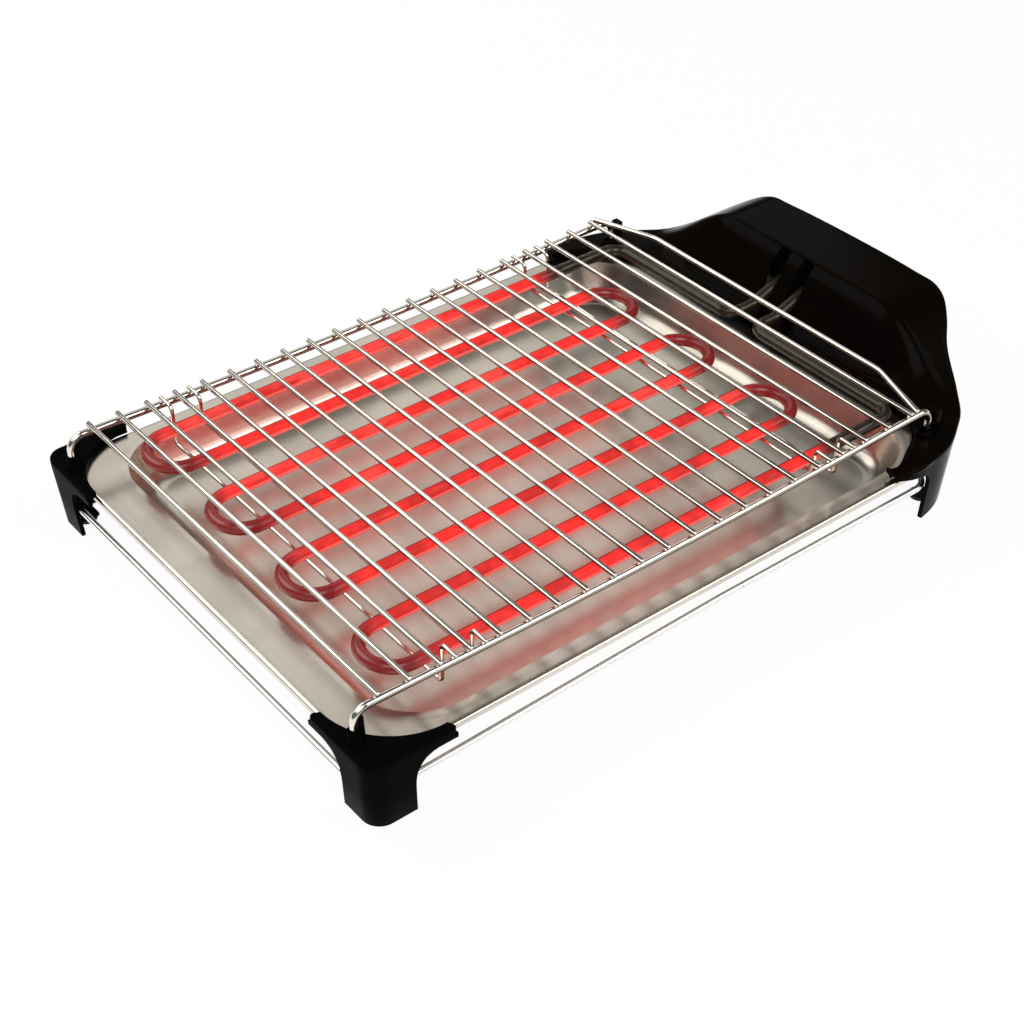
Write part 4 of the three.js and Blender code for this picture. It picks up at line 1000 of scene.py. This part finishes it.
# The outer and the inner edge from above: (share of the length, share of the half width).
OUTLINE = np.array([
    (0.0, 0.93), (0.002, 0.965), (0.012, 0.99), (0.035, 1.0), (0.245, 0.998), (0.385, 0.97),
    (0.515, 0.912), (0.611, 0.86), (0.707, 0.769), (0.812, 0.633), (0.9, 0.563), (0.96, 0.5),
    (0.988, 0.329), (0.998, 0.15), (1.0, 0.0),
])
INNER = np.array([
    (0.001, 0.958), (0.012, 0.951), (0.035, 0.949), (0.175, 0.898), (0.271, 0.856),
    (0.323, 0.815), (0.38, 0.775), (0.42, 0.74), (0.428, 0.7), (0.428, 0.5), (0.428, 0.25),
    (0.428, 0.0),
])
# The lower edge of a wing and the front of its leg: (place behind the wing's tip, level).
LEG_FRONT = np.array([
    (-0.1, 40.6), (1.3, 38.6), (5.0, 38.4), (10.0, 37.7), (16.7, 36.4), (21.5, 33.8),
    (24.9, 31.0), (26.4, 28.0), (26.9, 25.6), (27.3, 13.7), (27.6, 4.0), (28.0, 0.8),
])


def top_level(x, y):
    """Height of the top skin: level wings, and a dome that rises as the product of two soft
    steps, one backwards from the front rim and one inwards from the sides."""
    front = smooth((x - DOME_FRONT) / DOME_RUN)
    side = smooth((DOME_HALF + DOME_SIDE - np.abs(y)) / DOME_SIDE)
    return WING_TOP + DOME_RISE * front * side


def housing_lines():
    """The outer and the inner edge of the housing seen from above, station by station from one
    wing's tip round the rear to the other's."""
    dense = np.unique(np.concatenate([np.linspace(0, 1, 120), np.linspace(0.0, 0.3, 90)]))
    scale = np.array([REAR_X - WING_X, SIDE_Y])
    lines = []
    for shares in (OUTLINE, INNER):
        far = even(shares * scale, dense) + [WING_X, 0.0]
        lines.append(np.concatenate([far * [1, -1], far[::-1][1:]]))
    return lines


def housing_skin():
    """The shell as one closed sheet. At each station its section climbs the outer wall, rolls
    over the rounded edge, crosses the top to the inner edge, rolls down the front wall, and
    comes back along the inside at the wall's thickness."""
    outer, inner = housing_lines()
    width = np.linalg.norm(inner - outer, axis=1)
    toward = (inner - outer) / width[:, None]
    lower = np.interp(np.abs(outer[:, 0] - WING_X), LEG_FRONT[:, 0], LEG_FRONT[:, 1])
    lower = lower + SKIRT_RISE * smooth((outer[:, 0] - LEG_END) / 2.5)
    roll, thick = np.minimum(HOUSING_ROLL, width * 0.3), np.minimum(HOUSING_WALL, width * 0.3)
    sections = []

    def at(inward, level, lean=0.0):
        shift = lean * np.clip(WING_TOP - level, 0, None)
        sections.append(raised(outer + toward * (inward + shift)[:, None], level))

    def over(inward):
        return top_level(*(outer + toward * inward[:, None]).T)

    leg_lean = 4.0 / 50.0
    rim = over(roll) - roll
    for share in (0.0, 0.25, 0.5, 0.75, 0.95):
        at(np.zeros(len(outer)), lower + (rim - lower) * share, leg_lean)
    for angle in np.linspace(0, QUARTER_TURN, 7):
        at(roll * (1 - math.cos(angle)), over(roll) - roll * (1 - math.sin(angle)))
    for share in np.linspace(0, 1, 34)[1:-1]:
        inward = roll + (width - 2 * roll) * share
        at(inward, over(inward))
    for angle in np.linspace(0, QUARTER_TURN, 7):
        drawn = width - roll * (1 - math.sin(angle))
        at(drawn, over(width - roll) - roll * (1 - math.cos(angle)))
    at(width, WING_FLOOR)
    at(width - thick, WING_FLOOR)
    for share in (1.0, 0.75, 0.5, 0.25, 0.0):
        inward = thick + roll + (width - 2 * thick - 2 * roll) * share
        at(inward, np.maximum(over(inward) - HOUSING_WALL, WING_FLOOR + 0.1))
    at(thick, np.maximum(lower, 36.0), leg_lean)
    at(thick, lower, leg_lean)
    return np.array(sections).transpose(1, 0, 2)


def rear_post(side):
    """The collar of a rear rod end with its long hole, and the upright stop behind it."""
    x, y = LAST + 14.9, side * ROD_Y
    # Length and width of each loop, and its level: up the hole, over the rim, down the outside.
    rings = [
        (7.3, 4.8, 41.6), (7.3, 4.8, 46.1), (7.7, 5.2, 46.45), (9.0, 6.5, 46.5),
        (10.1, 7.6, 46.3), (10.5, 8.0, 45.8), (10.5, 8.0, 43.6),
    ]
    collar = []
    for length, width, level in rings:
        straight, r = (length - width) / 2, width / 2
        ends = [arc(x + straight, y, r, -90, 90, 10), arc(x - straight, y, r, 90, 270, 10)]
        collar.append(raised(np.concatenate(ends), level))
    stop = [
        arc(LAST + 21 + 1.3 * ahead, y + 2.2 * across, 0.8, start, start + 90, 3)
        for ahead, across, start in ((1, -1, -90), (1, 1, 0), (-1, 1, 90), (-1, -1, 180))
    ]
    return [np.array(collar), slab(np.concatenate(stop), 43.6, 57.5, 0.5)]


class GRILL_OT_housing(bpy.types.Operator):
    """Mould the rear housing with its wings, legs, collars and slots"""

    bl_idname = "grill.housing"
    bl_label = "Housing"

    def execute(self, context):
        plastic = moulded_black("gloss_plastic", grill().housing_colour, 0.1, 0.15, 0.016)
        shell = surface("housing_moulded", [housing_skin()])
        self.open_slots(shell)
        posts = surface("housing_posts", rear_post(-1) + rear_post(1), 35)
        for piece in (shell, posts):
            shown(piece, "base", plastic, "gloss_black", "housing_shell")
        return {"FINISHED"}

    def open_slots(self, shell):
        """Cuts the two slots that the cold ends pass through, round in front and nearly square
        behind. They are long enough for the ends at the grate's full tilt."""
        grids = []
        for y in COLD_ENDS:
            outline = np.concatenate([
                arc(LAST + 49.3, y - 2.7, 1.5, -90, 0, 4),
                arc(LAST + 49.3, y + 2.7, 1.5, 0, 90, 4),
                arc(LAST + 36.7, y, 4.2, 90, 270, 12),
            ])
            grids.append(slab(outline, SLOT_FLOOR, SLOT_TOP, 0.2))
        cutter = surface("slot_cutter", grids)
        cut = shell.modifiers.new("slots", "BOOLEAN")
        cut.operation, cut.object, cut.solver = "DIFFERENCE", cutter, "EXACT"
        graph = bpy.context.evaluated_depsgraph_get()
        mesh = bpy.data.meshes.new_from_object(shell.evaluated_get(graph))
        shell.modifiers.clear()
        shell.data = mesh
        mesh.set_sharp_from_angle(angle=math.radians(40))
        bpy.data.objects.remove(cutter)


# ---------------------------------------------------------------- the rest

LOW_WIRE_CORNER, LOW_WIRE_DIP = 12, 90


class GRILL_OT_low_wire(bpy.types.Operator):
    """Bend the low wire round the legs, dipping towards the front"""

    bl_idname = "grill.low_wire"
    bl_label = "Low wire"

    def execute(self, context):
        a, b, (_, _, z) = span("low_wire")
        wide = b[2] - a[2]
        rear, y = b[0] - wide / 2, b[1] - wide / 2
        front, front_z = a[0] + wide / 2 - 1.2, z - 5.6
        middle = (FIRST + LAST) / 2
        # In front the wire lies lower and further out than its solid.
        dip = [(FIRST + 75, z - 3.2), (FIRST + 130, z - 1.6), (FIRST + 195, z)]
        corners = [(middle + 40, -y, z), (rear, -y, z), (rear, y, z)]
        corners += [(x, y, level) for x, level in reversed(dip)]
        corners += [(front, y, front_z), (front, -y, front_z)]
        corners += [(x, -y, level) for x, level in dip] + [(middle + 39.7, -y, z)]
        side, bend = [LOW_WIRE_DIP] * len(dip), [LOW_WIRE_CORNER] * 2
        grid = bent_wire(corners, [0, *bend, *side, *bend, *side, 0], wide, (0, 0, 1), 0)
        piece = surface("low_wire_bent", [grid], WIRE_SMOOTH)
        # Painted shade on the side that faces up and in, stored for the wire's material.
        store(piece, "painted_shade_share", self.shade_toward_tray(grid, middle, rear, y, wide / 2))
        chrome = chrome_wire("chrome_frame_wire", grill().frame_colour)
        shown(piece, "base", chrome, "chrome", "low_wire")
        return {"FINISHED"}

    def shade_toward_tray(self, grid, middle, rear, side, radius):
        """Painted shade darkens the side that faces up and in, towards the tray. In is the eighth
        power of how far out the wire lies along and across, so it turns quickly at the corners. The
        shade grows to 0.8 as the cosine of the angle from that side goes from 0.5 to 0.75."""
        centre = grid.mean(1)
        out = (centre - [middle, 0, 0]) / [rear - middle, side, 1]
        inward = -np.sign(out) * np.abs(np.clip(out, -1, 1)) ** 8
        inward[:, 2] = 1
        facing = np.einsum("rci,ri->rc", grid - centre[:, None], inward)
        return ramp(facing / (radius * math.sqrt(2)), 0.5, 0.75) * 0.8


class GRILL_OT_rubber_pads(bpy.types.Operator):
    """Turn the four rubber pads"""

    bl_idname = "grill.rubber_pads"
    bl_label = "Rubber pads"

    def execute(self, context):
        rubber = rubber_pad()
        for name in ("foot_pad_near", "foot_pad_far", "rear_pad_near", "rear_pad_far"):
            a, b, (x, y, _) = span(name)
            r, top = (b[0] - a[0]) / 2, b[2]
            groove = [(0.01, 0.0), (r - 3, 0.0), (r - 2.6, 0.25), (r - 2.2, 0.0)]
            rim = [(r - 0.6, 0.0), (r - 0.15, 0.2), (r, 0.6)]
            upper = [(r, top - 0.3), (r - 0.3, top), (0.01, top)]
            piece = surface(f"{name}_turned", [lathe(groove + rim + upper, x, y)])
            shown(piece, "base", rubber, "rubber", name)
        return {"FINISHED"}


class GRILL_OT_inner_parts(bpy.types.Operator):
    """Finish the solids inside and under the housing that keep their own shape"""

    bl_idname = "grill.inner_parts"
    bl_label = "Inner parts"

    def execute(self, context):
        zinc, ceramic, sleeve = plated_steel(), fired_ceramic(), woven_sleeve()
        plastic = bpy.data.materials["satin_plastic"]
        finishes = {
            "hinge_": zinc, "foot_screw": zinc, "base_screw": zinc, "terminal_pin": zinc,
            "thermal": zinc, "lead_": sleeve, "terminal_strip": ceramic,
            "housing_base": plastic, "terminal_block": plastic, "cable_gland": plastic,
        }
        for name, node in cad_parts.items():
            for start, finish in finishes.items():
                if name.startswith(start):
                    dress(node, finish)
        return {"FINISHED"}


# ---------------------------------------------------------------- stage

# Soft panels: place and aim, width and height, all in metres, and radiance.
LAMPS = {
    "key_lamp": ((-1.1, -1.4, 2.0), (0, 0, 0.03), (1.6, 1.6), 5.0),
    "tray_panel": ((0.72, 1.05, 1.0), (0, 0, 0.03), (1.1, 0.9), 0.72),
    "back_panel": ((-0.69, 1.02, 1.22), (0, 0, 0.03), (1.9, 1.0), 3.0),
    "right_panel": ((0.95, -1.25, 1.25), (0, 0, 0.03), (1.3, 1.2), 3.0),
    "low_strip": ((0.95, -1.5, 0.2), (0, 0, 0.1), (1.5, 0.1), 2.5),
}
LAMP_TINT = (1.0, 0.97, 0.92)
SKY_TINT, SKY_STRENGTH = (1.0, 0.98, 0.95), 0.1
FLOOR_REACH, FLOOR_DROP = 150000, 0.05
FLOOR_GLOW = 0.95  # how much of the floor is plain white light to the eye and to mirrors
# The camera's place in metres, and its right, down and forward, from the grate's own squares.
CAMERA_PLACE = (-0.5335387, -0.6370815, 0.63106707)
CAMERA_RIGHT = (0.78379592, -0.62101843, -0.00027016)
CAMERA_DOWN = (-0.38153907, -0.48120238, -0.78922254)
CAMERA_FORWARD = (0.48999174, 0.61869248, -0.61410725)
SENSOR_WIDE = 36.0
NEAREST, FURTHEST = 0.05, 400.0


class GRILL_OT_stage(bpy.types.Operator):
    """Set the pale floor, the soft lamps and the camera"""

    bl_idname = "grill.stage"
    bl_label = "Stage"

    def execute(self, context):
        self.floor()
        self.world(context.scene)
        for name, settings in LAMPS.items():
            self.lamp(name, *settings)
        self.camera(context.scene)
        context.scene.view_settings.view_transform = "Standard"
        return {"FINISHED"}

    def floor(self):
        """A flat sheet just under the pads, which takes shadows as matt paper and looks nearly
        white to the camera, to mirrors and through clear things."""
        reach = np.linspace(-FLOOR_REACH, FLOOR_REACH, 9)
        x, y = np.meshgrid(reach, reach, indexing="ij")
        grid = np.stack([x, y, np.full(x.shape, -FLOOR_DROP)], 2)
        piece = surface("floor", [grid], closed=False)
        paint = Paint("pale_floor")
        camera, glossy, clear = (
            paint.node("ShaderNodeLightPath", output=f"Is {kind} Ray")
            for kind in ("Camera", "Glossy", "Transmission")
        )
        seen = paint.math("MAXIMUM", paint.math("MAXIMUM", camera, glossy), clear)
        paper = paint.node("ShaderNodeBsdfDiffuse", {}, {"Color": tone(PAPER)})
        shine = paint.node("ShaderNodeEmission", {}, {"Color": tone(WHITE)})
        paint.end_with(paint.node("ShaderNodeMixShader", {}, [seen * FLOOR_GLOW, paper, shine]))
        dress(piece, paint.material)

    def world(self, scene):
        """Weak even light from all round."""
        scene.world = scene.world or bpy.data.worlds.new("studio")
        scene.world.use_nodes = True
        ground = scene.world.node_tree.nodes["Background"]
        ground.inputs["Color"].default_value = tone(SKY_TINT)
        ground.inputs["Strength"].default_value = SKY_STRENGTH

    def lamp(self, name, place, aim, size, radiance):
        """A rectangular panel that looks equally bright from everywhere: its power is the
        radiance times pi times its area."""
        data = bpy.data.lights.new(name, "AREA")
        data.shape, data.size, data.size_y = "RECTANGLE", *size
        data.energy = radiance * math.pi * size[0] * size[1]
        data.color = LAMP_TINT
        lamp = bpy.data.objects.new(name, data)
        lamp.location = place
        lamp.rotation_mode = "QUATERNION"
        lamp.rotation_quaternion = (Vector(aim) - Vector(place)).to_track_quat("-Z", "Y")
        bpy.context.scene.collection.objects.link(lamp)

    def camera(self, scene):
        """The camera at the photograph's viewing angle."""
        data = bpy.data.cameras.new("camera")
        data.lens, data.sensor_width, data.sensor_fit = grill().lens, SENSOR_WIDE, "HORIZONTAL"
        data.clip_start, data.clip_end = NEAREST, FURTHEST
        axes = Vector(CAMERA_RIGHT), -Vector(CAMERA_DOWN), -Vector(CAMERA_FORWARD)
        turn = Matrix(axes).transposed().to_4x4()
        camera = bpy.data.objects.new("camera", data)
        camera.matrix_world = Matrix.Translation(CAMERA_PLACE) @ turn
        scene.collection.objects.link(camera)
        scene.camera = camera


# ---------------------------------------------------------------- the add-on

STEPS = [
    GRILL_OT_cross_wires,
    GRILL_OT_side_rods,
    GRILL_OT_handle_and_hangers,
    GRILL_OT_heating_element,
    GRILL_OT_drip_tray,
    GRILL_OT_front_feet,
    GRILL_OT_housing,
    GRILL_OT_low_wire,
    GRILL_OT_rubber_pads,
    GRILL_OT_inner_parts,
    GRILL_OT_stage,
]


class GRILL_PT_panel(bpy.types.Panel):
    """Lists the grill's sizes, colours and steps"""

    bl_idname = "GRILL_PT_panel"
    bl_label = "Table grill"
    bl_space_type = "VIEW_3D"
    bl_region_type = "UI"
    bl_category = "Grill"

    def draw(self, context):
        for name in GrillSettings.__annotations__:
            self.layout.prop(context.scene.grill_settings, name)
        for step in STEPS:
            self.layout.operator(step.bl_idname)


CLASSES = [GrillSettings, *STEPS, GRILL_PT_panel]


def register():
    for item in CLASSES:
        bpy.utils.register_class(item)
    bpy.types.Scene.grill_settings = PointerProperty(type=GrillSettings)


def unregister():
    del bpy.types.Scene.grill_settings
    for item in reversed(CLASSES):
        bpy.utils.unregister_class(item)


def main():
    register()
    for step in STEPS:
        group, name = step.bl_idname.split(".")
        getattr(getattr(bpy.ops, group), name)()


if __name__ == "__main__":
    main()
